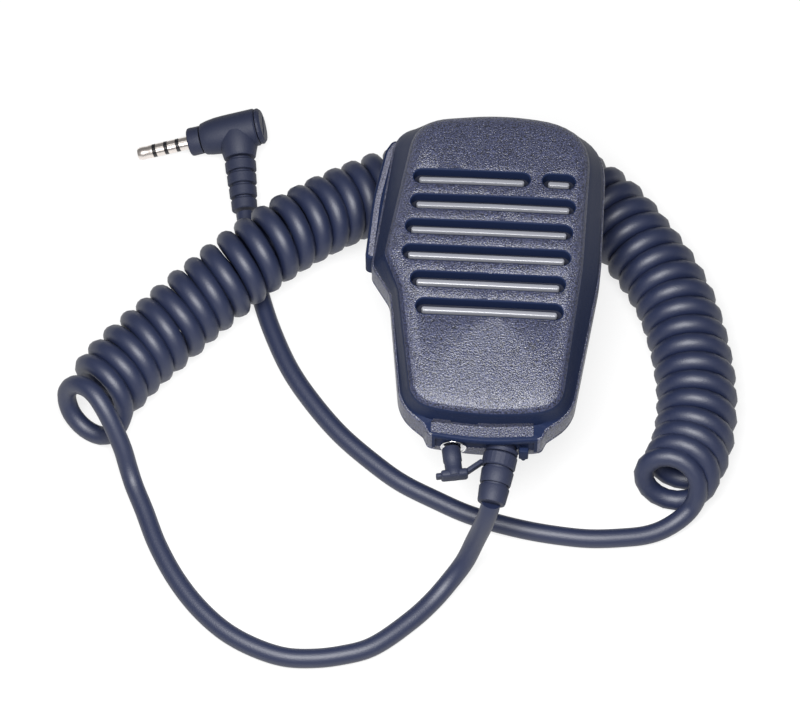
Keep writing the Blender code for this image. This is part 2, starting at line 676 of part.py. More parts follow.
def build_front_shell(shared_guides):
    body, shoulder, panel = body_corners(), shoulder_corners(), panel_corners()
    rings = [level(rounded(body), SEAM_Z),
             level(rounded(body), RIM_Z - RIM_ROUND),
             level(rounded(inset(body, RIM_ROUND)), RIM_Z)]
    rings += front_rings(shoulder, panel, FRONT_Z, RIM_Z + SHOULDER_FOOT)
    shell = add_object("front_shell", loft(rings, "front_shell"), "shell_plastic")

    inner = rounded(inset(body_corners(BAY_Y, 0.2 * MM), WALL))
    cavity = [level(inner, SEAM_Z - CUT),
              level(inner, RIM_Z - WALL * 0.6),
              level(rounded(inset(shoulder, WALL)), RIM_Z - WALL * 0.2),
              crowned(rounded(inset(panel, WALL * 0.8)), FRONT_Z - FRONT_WALL - 1.6 * MM),
              crowned(rounded(inset(panel, WALL * 1.3)), FRONT_Z - FRONT_WALL)]
    centre = rounded(inset(panel, WALL + 4.0 * MM))
    cavity += [crowned(centre, FRONT_Z - FRONT_WALL),
               crowned(mix(centre, spine(centre), 0.5), FRONT_Z - FRONT_WALL),
               crowned(spine(centre), FRONT_Z - FRONT_WALL)]
    cut(shell, add_object("front_cavity", loft(cavity, "front_cavity")))
    join(shell, group_of_rods(SCREW_PLACES, SEAM_Z + GAP / 2, FRONT_Z - FRONT_WALL * 0.6,
                              SCREW_RADIUS + POST_WALL, "front_bosses"))
    cut(shell, group_of_rods(SCREW_PLACES, SEAM_Z - CUT,
                             BACK_Z + SCREW_RECESS + SCREW_LENGTH + CUT,
                             SCREW_RADIUS + GAP, "front_boss_holes"))
    strip = prism(rounded(rectangle(LOW_SHIFT - STRIP_HALF_WIDTH, LOW_SHIFT + STRIP_HALF_WIDTH,
                                    BOTTOM_Y - CUT, BOTTOM_Y + 3.9 * MM, 0.3 * MM), 1),
                  RIM_Z + SHOULDER_FOOT - STRIP_DEPTH, RIM_Z + 3 * MM, "strip_guide")
    cut(shell, add_object("strip_guide", strip))
    cut(shell, slot_cutter())
    for guide in shared_guides:
        cut(shell, guide)
    return shell


def back_rings(outline, flat, low, high):
    """Rings of the back from its flat up to the outline, leaning out all the way."""
    rings = []
    for step in range(5):
        share = 1 - step / 4
        rings.append(level(mix(outline, flat, share), high - (high - low) * (1 - (1 - share) ** 2)))
    return rings


def build_back_shell(shared_guides):
    body, back = rounded(body_corners()), rounded(back_corners())
    rings = back_rings(body, back, BACK_Z, SEAM_Z - GAP)
    shell = add_object("back_shell", loft(rings, "back_shell"), "shell_plastic")

    inner = rounded(inset(body_corners(BAY_Y, 0.2 * MM), WALL))
    inner_back = rounded(inset(back_corners(), WALL / 2))
    cavity = back_rings(inner, inner_back, BACK_Z + WALL, SEAM_Z - GAP)
    cavity.append(level(inner, SEAM_Z + CUT))
    cut(shell, add_object("back_cavity", loft(cavity, "back_cavity")))
    join(shell, group_of_rods(SCREW_PLACES, BACK_Z + WALL / 2, SEAM_Z - GAP,
                              SCREW_RADIUS + POST_WALL, "back_posts"))
    board_places = [(x, y) for x in (-BOARD_POST_X, BOARD_POST_X) for y in BOARD_POST_YS]
    join(shell, group_of_rods(board_places, BACK_Z + WALL / 2, board_low() - GAP,
                              BOARD_POST_RADIUS, "board_posts"))
    join(shell, group_of_rods([(0, 0)], BACK_Z + WALL / 2, BACK_Z + WALL + PAD_DEPTH,
                              PAD_RADIUS, "swivel_pad", SEGMENTS))
    cut(shell, group_of_rods(SCREW_PLACES, BACK_Z - CUT, SEAM_Z + CUT, SCREW_RADIUS + GAP,
                             "post_holes"))
    cut(shell, group_of_rods(SCREW_PLACES, BACK_Z - CUT,
                             BACK_Z + SCREW_RECESS + SCREW_HEAD_DEPTH + GAP,
                             SCREW_HEAD_RADIUS + GAP, "post_recesses"))
    cut(shell, group_of_rods([(0, 0)], BACK_Z - CUT, BACK_Z + WALL + PAD_DEPTH + CUT,
                             SWIVEL_RADIUS + GAP, "pad_hole"))
    for guide in shared_guides:
        cut(shell, guide)
    return shell


def build_shell_screws():
    top = BACK_Z + SCREW_RECESS + SCREW_LENGTH
    head = BACK_Z + SCREW_RECESS
    profile = [(0, SCREW_LENGTH), (SCREW_RADIUS * 0.6, SCREW_LENGTH),
               (SCREW_RADIUS, SCREW_LENGTH - 1.2 * MM), (SCREW_RADIUS, SCREW_HEAD_DEPTH),
               (SCREW_HEAD_RADIUS, SCREW_HEAD_DEPTH), (SCREW_HEAD_RADIUS, 0.3 * MM),
               (SCREW_HEAD_RADIUS - 0.5 * MM, 0), (0, 0)]
    for number, (x, y) in enumerate(SCREW_PLACES, 1):
        screw = turned(f"shell_screw_{number}", profile, Vector((x, y, head)),
                       Vector((0, 0, top - head)), "steel", 12)
        for turn in (0, 90):
            cross = block((SCREW_HEAD_RADIUS * 1.3, 0.6 * MM, 1.4 * MM), (0, 0, 0), "cross")
            guide = add_object(f"screw_cross_{number}_{turn}", cross)
            guide.location = (x, y, head)
            guide.rotation_euler.z = math.radians(turn)
            cut(screw, guide)


# ---------------------------------------------------------------- inside the shells

def board_low():
    """Underside of the circuit board, which carries the jack on the seam."""
    return SEAM_Z - JACK_BODY[2] / 2 - GAP - BOARD_THICKNESS


def cloth_low():
    return FRONT_Z - FRONT_WALL - GAP - CLOTH_THICKNESS


def build_grille_cloth():
    """Cloth behind the slots, bent with the crown and cut to the rows of slots."""
    low = SLOT_TOP_Y - SLOT_PITCH * (len(SLOT_ENDS) - 1) - SLOT_WIDTH / 2 - CLOTH_MARGIN
    high = SLOT_TOP_Y + SLOT_WIDTH / 2 + CLOTH_MARGIN
    outline = rounded(inset(panel_corners(), WALL * 1.3 + GAP))
    z = cloth_low()
    rings = [crowned(mix(outline, spine(outline), 0.5), z)]
    cloth = add_object("grille_cloth", loft(
        [crowned(spine(outline), z), *rings, crowned(outline, z),
         crowned(outline, z + CLOTH_THICKNESS),
         crowned(mix(outline, spine(outline), 0.5), z + CLOTH_THICKNESS),
         crowned(spine(outline), z + CLOTH_THICKNESS)], "grille_cloth"),
        "grille_cloth", smooth=False)
    keep = block((4 * HALF_WIDTH, high - low, 4 * FRONT_WALL), (0, (high + low) / 2, z),
                 "cloth_keep")
    combine(cloth, add_object("cloth_keep", keep), "INTERSECT")


def build_speaker():
    """Frame, cone and magnet under the cloth, all on one axis."""
    edge_drop = crown(SPEAKER_Y - SPEAKER_RADIUS)
    top = cloth_low() - edge_drop - GAP
    base = Vector((SPEAKER_X, SPEAKER_Y, top - SPEAKER_DEPTH))
    up = Vector((0, 0, 1))
    rim, plate = 1.6 * MM, SPEAKER_PLATE
    waist = MAGNET_RADIUS + 1.5 * MM
    turned("speaker_frame", [
        (SPEAKER_RADIUS - rim, SPEAKER_DEPTH), (SPEAKER_RADIUS, SPEAKER_DEPTH),
        (SPEAKER_RADIUS, SPEAKER_DEPTH - 1.2 * MM), (waist, 0), (1.0 * MM, 0),
        (1.0 * MM, plate), (waist - plate / 2, plate),
        (SPEAKER_RADIUS - rim, SPEAKER_DEPTH - 1.6 * MM)], base, up, "magnet_steel", 32)
    cone_edge = SPEAKER_RADIUS - rim - GAP
    turned("speaker_cone", [
        (0, plate + 1.6 * MM + CONE_THICKNESS), (3.4 * MM, plate + 1.0 * MM + CONE_THICKNESS),
        (4.2 * MM, plate + 0.5 * MM + CONE_THICKNESS),
        (cone_edge - 2.2 * MM, SPEAKER_DEPTH - 1.2 * MM),
        (cone_edge - 1.1 * MM, SPEAKER_DEPTH - 0.4 * MM), (cone_edge, SPEAKER_DEPTH - 0.9 * MM),
        (cone_edge, SPEAKER_DEPTH - 0.9 * MM - CONE_THICKNESS),
        (cone_edge - 1.1 * MM, SPEAKER_DEPTH - 0.4 * MM - CONE_THICKNESS),
        (cone_edge - 2.2 * MM, SPEAKER_DEPTH - 1.2 * MM - CONE_THICKNESS),
        (4.2 * MM, plate + GAP), (3.4 * MM, plate + GAP), (0, plate + GAP)],
        base, up, "cone_paper", 32)
    turned("speaker_magnet", [
        (0, MAGNET_DEPTH), (MAGNET_RADIUS, MAGNET_DEPTH), (MAGNET_RADIUS, 0.5 * MM),
        (MAGNET_RADIUS - 0.5 * MM, 0), (0, 0)],
        base - up * (MAGNET_DEPTH + GAP), up, "magnet_steel")


def build_capsule():
    """Microphone capsule in its rubber boot, behind the short slot."""
    x, y = sum(MIC_SLOT_ENDS) / 2, SLOT_TOP_Y
    radius = CAPSULE_RADIUS + GAP + BOOT_WALL
    top = cloth_low() - crown(y + radius) - GAP
    depth = CAPSULE_DEPTH + GAP + BOOT_WALL
    base = Vector((x, y, top - depth))
    up = Vector((0, 0, 1))
    inner = CAPSULE_RADIUS + GAP
    turned("mic_boot", [(inner, depth), (radius, depth), (radius, 0), (1.0 * MM, 0),
                        (1.0 * MM, BOOT_WALL), (inner, BOOT_WALL)],
           base, up, "satin_rubber", 20)
    turned("mic_capsule", [(0, CAPSULE_DEPTH), (CAPSULE_RADIUS - 0.3 * MM, CAPSULE_DEPTH),
                           (CAPSULE_RADIUS, CAPSULE_DEPTH - 0.3 * MM), (CAPSULE_RADIUS, 0),
                           (0, 0)],
           base + up * (BOOT_WALL + GAP), up, "steel", 20)


def build_board():
    """Circuit board on its posts, with room for the screw posts, and the switch on it."""
    wide, neck = BOARD_HALF_WIDTH, BOARD_NECK_HALF_WIDTH
    outline = [(-neck, BOARD_BOTTOM_Y, 1 * MM), (neck, BOARD_BOTTOM_Y, 1 * MM),
               (neck, BOARD_NECK_Y, 0.6 * MM), (wide - 3 * MM, BOARD_NECK_Y, 1 * MM),
               (wide, BOARD_NECK_Y + 12 * MM, 1 * MM), (wide, BOARD_TOP_Y, 1 * MM),
               (-wide, BOARD_TOP_Y, 1 * MM), (-wide, BOARD_NECK_Y + 12 * MM, 1 * MM),
               (3 * MM - wide, BOARD_NECK_Y, 1 * MM), (-neck, BOARD_NECK_Y, 0.6 * MM)]
    low = board_low()
    board = add_object("circuit_board", prism(rounded(outline, 2), low, low + BOARD_THICKNESS,
                                              "circuit_board"), "board_laminate", smooth=False)
    cut(board, group_of_rods(SCREW_PLACES, low - CUT, low + BOARD_THICKNESS + CUT,
                             SCREW_RADIUS + POST_WALL + GAP, "board_holes"))


def build_switch():
    """Switch beside the board's left edge, and its stem, in line with the talk bar's rib."""
    z = SEAM_Z + SWITCH_Z
    inner = -WALL - 2 * GAP
    length, width, height = SWITCH_BODY
    face = inner - BAR_FLANGE - 2.0 * MM - SWITCH_STEM_LENGTH / 2
    body = add_object("switch_body", side_slab(
        SWITCH_S - width / 2, SWITCH_S + width / 2, face - length, face,
        board_low() + BOARD_THICKNESS + GAP, z + height / 2, 0.4 * MM, "switch_body"),
        "insulator", smooth=False)
    back = side_place(SWITCH_S, face - SWITCH_STEM_LENGTH / 2 - BAR_TRAVEL - GAP, z)
    front = side_place(SWITCH_S, face + CUT, z)
    cut(body, add_object("stem_bore", rod_between(back, front, SWITCH_STEM_RADIUS + GAP,
                                                  "stem_bore", segments=16)))
    stem_in = side_place(SWITCH_S, face - SWITCH_STEM_LENGTH / 2, z)
    stem_out = side_place(SWITCH_S, face + SWITCH_STEM_LENGTH / 2, z)
    add_object("switch_stem", rod_between(stem_in, stem_out, SWITCH_STEM_RADIUS, "switch_stem",
                                          segments=16), "insulator")


# ---------------------------------------------------------------- talk bar

def build_talk_bar():
    """Bar in the left side, held behind the window by a flange, with a rib to the switch."""
    end = BAR_START + BAR_LENGTH
    inner = -WALL - 2 * GAP
    low = SEAM_Z + BAR_BOTTOM
    high = low + BAR_HEIGHT
    places = [(BAR_START, inner - BAR_FLANGE / 2, 0.2 * MM), (end, inner - BAR_FLANGE / 2, 0.2 * MM),
              (end, BAR_PROUD * 0.3, 2.0 * MM), (end - BAR_END_ROUND, BAR_PROUD, 6.0 * MM),
              ((BAR_START + end) / 2, BAR_PROUD + BAR_BOW, 60.0 * MM),
              (BAR_START + 0.8 * MM, BAR_PROUD, 1.4 * MM)]
    corners = [(*side_place(s, out).xy, reach) for s, out, reach in places]
    outline = rounded(corners, 3)
    eased = rounded(inset(corners, 0.7 * MM, 0.1 * MM), 3)
    rings = [level(eased, low), level(outline, low + 0.7 * MM), level(outline, high - 1.0 * MM),
             level(eased, high)]
    bar = add_object("talk_bar", loft(rings, "talk_bar"), "shell_plastic")
    flange = side_slab(BAR_START + BAR_END_ROUND, end - 1.5 * BAR_END_ROUND,
                       inner - BAR_FLANGE, inner, low + BAR_LIP, high + BAR_LIP, 0.3 * MM,
                       "bar_flange")
    join(bar, add_object("bar_flange", flange))
    rib_end = inner - BAR_FLANGE - 2.0 * MM + GAP
    rib = rod_between(side_place(SWITCH_S, rib_end, SEAM_Z + SWITCH_Z),
                      side_place(SWITCH_S, inner - BAR_FLANGE / 2, SEAM_Z + SWITCH_Z),
                      SWITCH_STEM_RADIUS, "bar_rib", segments=16)
    join(bar, add_object("bar_rib", rib))


# ---------------------------------------------------------------- jack, strain relief, dust plug

def build_jack():
    """Earphone jack: bright ring through the wall and the body behind it, on one bore."""
    out = Vector((0, -1, 0))
    inside = BAY_Y + WALL + GAP
    length = inside - GAP - BAY_Y
    turned("jack_ring", [
        (JACK_BORE_RADIUS, GAP + JACK_RING_DEPTH + length),
        (JACK_RING_RADIUS - 0.4 * MM, GAP + JACK_RING_DEPTH + length),
        (JACK_RING_RADIUS, JACK_RING_DEPTH + length),
        (JACK_RING_RADIUS, GAP + length), (JACK_BARREL_RADIUS, GAP + length),
        (JACK_BARREL_RADIUS, 0), (JACK_BORE_RADIUS, 0)],
        Vector((JACK_X, inside - GAP, SEAM_Z)), out, "nickel")
    width, depth, height = JACK_BODY
    body = add_object("jack_body", block((width, depth, height),
                                         (JACK_X, inside + depth / 2, SEAM_Z), "jack_body"),
                      "insulator", smooth=False)
    bore = rod_between(Vector((JACK_X, inside - CUT, SEAM_Z)),
                       Vector((JACK_X, inside + JACK_BORE_DEPTH, SEAM_Z)),
                       JACK_BORE_RADIUS, "jack_bore")
    cut(body, add_object("jack_bore", bore))


def build_strain_relief():
    """Rubber sleeve with a neck and flange in the wall, and grooves outside it."""
    axis = (RELIEF_END - RELIEF_START).normalized()
    length = (RELIEF_END - RELIEF_START).length
    ring_end = TETHER_START + TETHER_LENGTH
    groove = RELIEF_GROOVE_RADIUS
    second = length * 0.66
    mid_radius = (RELIEF_RADIUS + RELIEF_END_RADIUS) / 2
    relief = turned("strain_relief", [
        (0, length), (RELIEF_END_RADIUS - 0.5 * MM, length),
        (RELIEF_END_RADIUS, length - 0.5 * MM), (mid_radius, second + RELIEF_GROOVE),
        (groove, second + RELIEF_GROOVE), (groove, second), (mid_radius, second),
        (RELIEF_RADIUS, ring_end + RELIEF_GROOVE), (RELIEF_NECK_RADIUS, ring_end + RELIEF_GROOVE),
        (RELIEF_NECK_RADIUS, 1.0 * MM), (0, 1.0 * MM)],
        RELIEF_START, axis, "satin_rubber")
    x, z = RELIEF_START.x, RELIEF_START.z
    inside = BAY_Y + WALL + GAP
    neck = rod_between(Vector((x, BAY_Y - 2.2 * MM, z)), Vector((x, inside + CUT / 2, z)),
                       RELIEF_NECK_RADIUS - 0.02 * MM, "relief_neck")
    join(relief, add_object("relief_neck", neck))
    flange = rod_between(Vector((x, inside, z)), Vector((x, inside + RELIEF_FLANGE, z)),
                         RELIEF_FLANGE_RADIUS, "relief_flange")
    join(relief, add_object("relief_flange", flange))


def build_tether_ring():
    """Ring of the dust plug's strap, round the strain relief's neck."""
    axis = (RELIEF_END - RELIEF_START).normalized()
    inner = RELIEF_NECK_RADIUS + GAP
    outer = inner + TETHER_WALL
    turned("tether_ring", [(inner, TETHER_LENGTH), (outer - 0.3 * MM, TETHER_LENGTH),
                           (outer, TETHER_LENGTH - 0.3 * MM), (outer, 0.3 * MM),
                           (outer - 0.3 * MM, 0), (inner, 0)],
           RELIEF_START + axis * TETHER_START, axis, "satin_rubber")


def build_dust_plug():
    """Stem, saucer, pull tab and strap of the plug that closes the earphone jack."""
    axis = (STEM_END - STEM_TOP).normalized()
    length = (STEM_END - STEM_TOP).length
    total = length + SAUCER_DEPTH
    plug = turned("dust_plug", [
        (0, total), (SAUCER_RADIUS * 0.6, total - 0.1 * MM),
        (SAUCER_RADIUS, total - 0.7 * MM), (SAUCER_RADIUS, length),
        (STEM_RADIUS, length), (STEM_RADIUS, length * 0.45),
        (STEM_RADIUS - 0.2 * MM, length * 0.4), (STEM_RADIUS - 0.2 * MM, 0.4 * MM),
        (STEM_RADIUS - 0.6 * MM, 0), (0, 0)],
        STEM_TOP, axis, "satin_rubber")
    side = Vector((-axis.y, axis.x, 0))
    middle = STEM_END + axis * SAUCER_DEPTH * 0.45
    strap_in = middle + side * (SAUCER_RADIUS - 1.0 * MM)
    for name, start, end in (
            ("plug_strap", strap_in, STRAP_ROOT),
            ("plug_tab", middle - side * (SAUCER_RADIUS - 1.0 * MM),
             middle - side * (SAUCER_RADIUS + TAB_LENGTH))):
        run = end - start
        strap = block((run.length, STRAP_THICKNESS, STRAP_WIDTH), (run.length / 2, 0, 0), name)
        guide = add_object(name, strap)
        guide.location = start
        guide.rotation_euler.z = math.atan2(run.y, run.x)
        join(plug, guide)


def build_latch():
    """Tongue of the shell latch that shows in the bay, with its peg."""
    _, depth, height = LATCH_SIZE
    centre = Vector((LATCH_X, BAY_Y - GAP - depth / 2, SEAM_Z))
    latch = add_object("latch_tongue", block(LATCH_SIZE, centre, "latch_tongue"),
                       "shell_plastic", smooth=False)
    foot = centre - Vector((0, 0, height / 2))
    peg = rod_between(foot - Vector((0, 0, LATCH_PEG_LENGTH)), foot + Vector((0, 0, CUT)),
                      LATCH_PEG_RADIUS, "latch_peg", segments=12)
    join(latch, add_object("latch_peg", peg))


# ---------------------------------------------------------------- belt clip

def upright_lug(x, thickness, radius, root_z, name):
    """Lug across the pin, as one guide: round at the pin, with straight sides to its root."""
    away = math.copysign(1, PIN_Z - root_z)
    bm = bmesh.new()
    outline = [(PIN_Y + radius, root_z)]
    for step in range(13):
        angle = math.pi * step / 12
        outline.append((PIN_Y + radius * math.cos(angle),
                        PIN_Z + away * radius * math.sin(angle)))
    outline.append((PIN_Y - radius, root_z))
    sides = [[bm.verts.new((x + side * thickness / 2, y, z)) for y, z in outline]
             for side in (-1, 1)]
    bm.faces.new(sides[0])
    bm.faces.new(reversed(sides[1]))
    for i in range(len(outline)):
        j = (i + 1) % len(outline)
        bm.faces.new((sides[0][i], sides[1][i], sides[1][j], sides[0][j]))
    return add_object(name, mesh_from(bm, name))


def clip_plate_low():
    return BACK_Z - GAP - CLIP_BOSS_DEPTH - CLIP_PLATE


def build_clip_base():
    """Swivelling plate with its boss against the back and two ears for the pin."""
    low = clip_plate_low()
    outline = rounded(rectangle(-CLIP_HALF_WIDTH, CLIP_HALF_WIDTH, CLIP_BOTTOM_Y, CLIP_TOP_Y,
                                CLIP_ROUND))
    base = add_object("clip_base", prism(outline, low, low + CLIP_PLATE, "clip_base"),
                      "clip_plastic")
    boss = rod_between(Vector((0, 0, low + CLIP_PLATE / 2)),
                       Vector((0, 0, BACK_Z - GAP)), CLIP_BOSS_RADIUS, "clip_boss")
    join(base, add_object("clip_boss", boss))
    for side in (-1, 1):
        x = side * (CLIP_HALF_WIDTH - EAR_INSET - EAR_THICKNESS / 2)
        join(base, upright_lug(x, EAR_THICKNESS, EAR_RADIUS, low + CLIP_PLATE / 2,
                               f"ear_{side + 1}"))
    cut(base, group_of_rods([(0, 0)], low - CUT, BACK_Z, SWIVEL_RADIUS + GAP, "base_hole"))
    cut(base, group_of_rods([(0, 0)], low - CUT, low + GAP + SWIVEL_HEAD_DEPTH + GAP,
                            SWIVEL_HEAD_RADIUS + GAP, "base_recess", SEGMENTS))
    cut(base, pin_guide(PIN_RADIUS + GAP, CLIP_HALF_WIDTH + CUT, "ear_holes"))


def pin_guide(radius, half_length, name):
    return add_object(name, rod_between(Vector((-half_length, PIN_Y, PIN_Z)),
                                        Vector((half_length, PIN_Y, PIN_Z)), radius, name,
                                        segments=16))


def build_swivel_screw():
    low = clip_plate_low() + GAP
    profile = [(0, SWIVEL_HEAD_DEPTH + SWIVEL_LENGTH),
               (SWIVEL_RADIUS - 0.4 * MM, SWIVEL_HEAD_DEPTH + SWIVEL_LENGTH),
               (SWIVEL_RADIUS, SWIVEL_HEAD_DEPTH + SWIVEL_LENGTH - 0.4 * MM),
               (SWIVEL_RADIUS, SWIVEL_HEAD_DEPTH), (SWIVEL_HEAD_RADIUS, SWIVEL_HEAD_DEPTH),
               (SWIVEL_HEAD_RADIUS, 0.4 * MM), (SWIVEL_HEAD_RADIUS - 0.6 * MM, 0), (0, 0)]
    screw = turned("swivel_screw", profile, Vector((0, 0, low)), Vector((0, 0, 1)), "steel", 20)
    for turn in (0, 90):
        cross = block((SWIVEL_HEAD_RADIUS * 1.2, 0.8 * MM, 2.0 * MM), (0, 0, 0), "swivel_cross")
        guide = add_object(f"swivel_cross_{turn}", cross)
        guide.location = (0, 0, low)
        guide.rotation_euler.z = math.radians(turn)
        cut(screw, guide)


def build_clip_lever():
    """Lever that the part lies on: flat plate, jaw at its foot and two lugs on the pin."""
    outline = rounded(rectangle(-LEVER_HALF_WIDTH, LEVER_HALF_WIDTH, LEVER_BOTTOM_Y, LEVER_TOP_Y,
                                CLIP_ROUND))
    lever = add_object("clip_lever", prism(outline, 0, LEVER_THICKNESS, "clip_lever"),
                       "clip_plastic")
    jaw_top = clip_plate_low() - GAP
    jaw = block((2 * (LEVER_HALF_WIDTH - CLIP_ROUND), JAW_THICKNESS, jaw_top - LEVER_THICKNESS / 2),
                (0, LEVER_BOTTOM_Y + GAP + JAW_THICKNESS / 2, (jaw_top + LEVER_THICKNESS / 2) / 2),
                "lever_jaw")
    join(lever, add_object("lever_jaw", jaw))
    for side in (-1, 1):
        x = side * (CLIP_HALF_WIDTH - EAR_INSET - EAR_THICKNESS - GAP - LUG_THICKNESS / 2)
        join(lever, upright_lug(x, LUG_THICKNESS, LUG_RADIUS, LEVER_THICKNESS / 2,
                                f"lug_{side + 1}"))
    cut(lever, pin_guide(PIN_RADIUS + GAP, CLIP_HALF_WIDTH, "lug_holes"))


def build_clip_pin():
    add_object("clip_pin", rod_between(Vector((-CLIP_HALF_WIDTH, PIN_Y, PIN_Z)),
                                       Vector((CLIP_HALF_WIDTH, PIN_Y, PIN_Z)), PIN_RADIUS,
                                       "clip_pin", segments=16), "steel")


def build_clip_spring():
    """Torsion spring round the pin, one leg under the plate and one on the lever."""
    axis_point = Vector((0, PIN_Y, PIN_Z))
    points = []
    half = SPRING_HALF_LENGTH
    start_angle = math.radians(-90)
    steps = SPRING_TURNS * 10 + 5
    for i in range(steps + 1):
        share = i / steps
        angle = start_angle - share * 2 * math.pi * (SPRING_TURNS + 0.5)
        points.append(axis_point + Vector((half * (2 * share - 1),
                                           SPRING_RADIUS * math.cos(angle),
                                           SPRING_RADIUS * math.sin(angle))))
    wire = SPRING_WIRE / 2
    lever_leg = Vector((-half, PIN_Y - 12 * MM, LEVER_THICKNESS + GAP + wire))
    plate_leg = Vector((half, PIN_Y - 12 * MM, clip_plate_low() - GAP - wire))
    tube("clip_spring", [lever_leg, *points, plate_leg], wire, "steel", 1)


# ---------------------------------------------------------------- plug

def along_plug(s):
    return PLUG_TIP + PLUG_AXIS * s


def build_plug_pin():
    """Four contacts and three insulators, threaded on the core of the tip."""
    radius, core = PIN_CONTACT_RADIUS, PIN_CORE_RADIUS
    core_length = PIN_LENGTH + COLLAR_LENGTH - 1.0 * MM
    turned("plug_tip", [
        (0, core_length), (core, core_length), (core, TIP_LENGTH),
        (radius - 0.15 * MM, TIP_LENGTH), (radius, TIP_LENGTH - 0.6 * MM),
        (radius - 0.35 * MM, TIP_LENGTH - 1.5 * MM), (radius, TIP_LENGTH - 2.6 * MM),
        (radius * 0.75, 0.5 * MM), (radius * 0.3, 0), (0, 0)],
        along_plug(0), PLUG_AXIS, "nickel", 20)
    place = TIP_LENGTH + PIN_FIT
    pieces = [("plug_insulator_1", INSULATOR_LENGTH), ("plug_ring_1", CONTACT_LENGTH),
              ("plug_insulator_2", INSULATOR_LENGTH), ("plug_ring_2", CONTACT_LENGTH),
              ("plug_insulator_3", INSULATOR_LENGTH), ("plug_sleeve", SLEEVE_LENGTH)]
    bore = core + PIN_FIT
    for name, length in pieces:
        material = "insulator" if "insulator" in name else "nickel"
        turned(name, [(bore, length), (radius, length), (radius, 0), (bore, 0)],
               along_plug(place), PLUG_AXIS, material, 20)
        place += length + PIN_FIT


def build_plug_collar():
    bore = PIN_CONTACT_RADIUS + GAP
    turned("plug_collar", [
        (bore, COLLAR_LENGTH), (COLLAR_RADIUS, COLLAR_LENGTH), (COLLAR_RADIUS, 0.5 * MM),
        (COLLAR_RADIUS - 0.5 * MM, 0), (bore, 0)],
        along_plug(PIN_LENGTH), PLUG_AXIS, "satin_rubber")


def barrel_start():
    return PIN_LENGTH + COLLAR_LENGTH + GAP


def build_plug_body():
    """Moulded elbow: a barrel on the plug's axis and a neck down to the cord."""
    length = BARREL_LENGTH
    body = turned("plug_body", [
        (0, length), (BARREL_RADIUS, length), (BARREL_RADIUS, BARREL_TAPER),
        (COLLAR_RADIUS + 0.3 * MM, 0), (0, 0)],
        along_plug(barrel_start()), PLUG_AXIS, "satin_rubber")
    elbow = along_plug(NECK_PLACE)
    neck = rod_between(elbow + NECK_AXIS * CUT, elbow + NECK_AXIS * NECK_LENGTH,
                       BARREL_RADIUS - 0.3 * MM, "plug_neck", NECK_RADIUS)
    join(body, add_object("plug_neck", neck))


def build_plug_cap():
    """Round cap on the end of the elbow, with a slot across it."""
    start = barrel_start() + BARREL_LENGTH + GAP
    cap = turned("plug_cap", [
        (0, CAP_DEPTH), (CAP_RADIUS - 0.6 * MM, CAP_DEPTH), (CAP_RADIUS, CAP_DEPTH - 0.6 * MM),
        (CAP_RADIUS, 0), (0, 0)],
        along_plug(start), PLUG_AXIS, "satin_rubber")
    slot = add_object("cap_slot", block((CAP_SLOT_WIDTH, CAP_RADIUS * 1.4, CAP_SLOT_DEPTH * 2),
                                        (0, 0, 0), "cap_slot"))
    slot.location = along_plug(start + CAP_DEPTH)
    slot.rotation_mode = "QUATERNION"
    slot.rotation_quaternion = Vector((0, 0, 1)).rotation_difference(PLUG_AXIS)
    cut(cap, slot)


def build_plug_relief():
    """Tapered strain relief of the plug, grooved into segments."""
    start, length = NECK_LENGTH + GAP, TAIL_RELIEF_LENGTH
    grooves = 3
    pitch = length / (grooves + 1)
    profile = [(0, length)]
    for number in range(grooves, -1, -1):
        top_share = (number + 1) / (grooves + 1)
        low_share = number / (grooves + 1)
        wide = TAIL_RELIEF_RADIUS
        narrow = TAIL_RELIEF_END_RADIUS
        profile.append((wide + (narrow - wide) * top_share, pitch * (number + 1)))
        profile.append((wide + (narrow - wide) * low_share, pitch * number + 0.8 * MM * (number > 0)))
        if number:
            profile.append((TAIL_RELIEF_GROOVE_RADIUS, pitch * number + 0.8 * MM))
            profile.append((TAIL_RELIEF_GROOVE_RADIUS, pitch * number))
    profile.append((0, 0))
    turned("plug_relief", profile, along_plug(NECK_PLACE) + NECK_AXIS * start, NECK_AXIS,
           "satin_rubber", 20)


# ---------------------------------------------------------------- joints

def put_on_joint(joint, place, *pieces):
    """Parent moving pieces to an empty on their joint, and leave them where they are."""
    empty = bpy.data.objects.new(joint, None)
    empty.location = place
    empty.empty_display_size = 5 * MM
    GUIDES.objects.link(empty)
    for name in pieces:
        piece = PARTS.objects[name]
        piece.parent = empty
        piece.matrix_parent_inverse = Matrix.Translation(place).inverted()


def place_joints():
    """Talk bar and switch stem slide in from the side; the plug's strap and the clip turn."""
    put_on_joint("talk_press", side_place(SWITCH_S, 0, SEAM_Z + SWITCH_Z), "talk_bar")
    put_on_joint("switch_press", side_place(SWITCH_S, -WALL, SEAM_Z + SWITCH_Z), "switch_stem")
    put_on_joint("plug_swing", STRAP_ROOT, "dust_plug")
    put_on_joint("clip_swivel", Vector((0, 0, 0)), "clip_base", "clip_pin")
    put_on_joint("clip_open", Vector((0, PIN_Y, PIN_Z)), "clip_lever", "clip_spring")


# ---------------------------------------------------------------- cord

def build_cord():
    """Plain solids of the cord: lead, coil as one fat tube, and tail."""
    tube("cord_lead", smooth_route(LEAD_ROUTE, CORD_STEP), CORD_DIAMETER / 2, "satin_rubber")
    tube("curly_cord", smooth_route(COIL_ROUTE, COIL_STEP), COIL_DIAMETER / 2, "satin_rubber", 4)
    tube("cord_tail", smooth_route(TAIL_ROUTE, CORD_STEP), CORD_DIAMETER / 2, "satin_rubber")


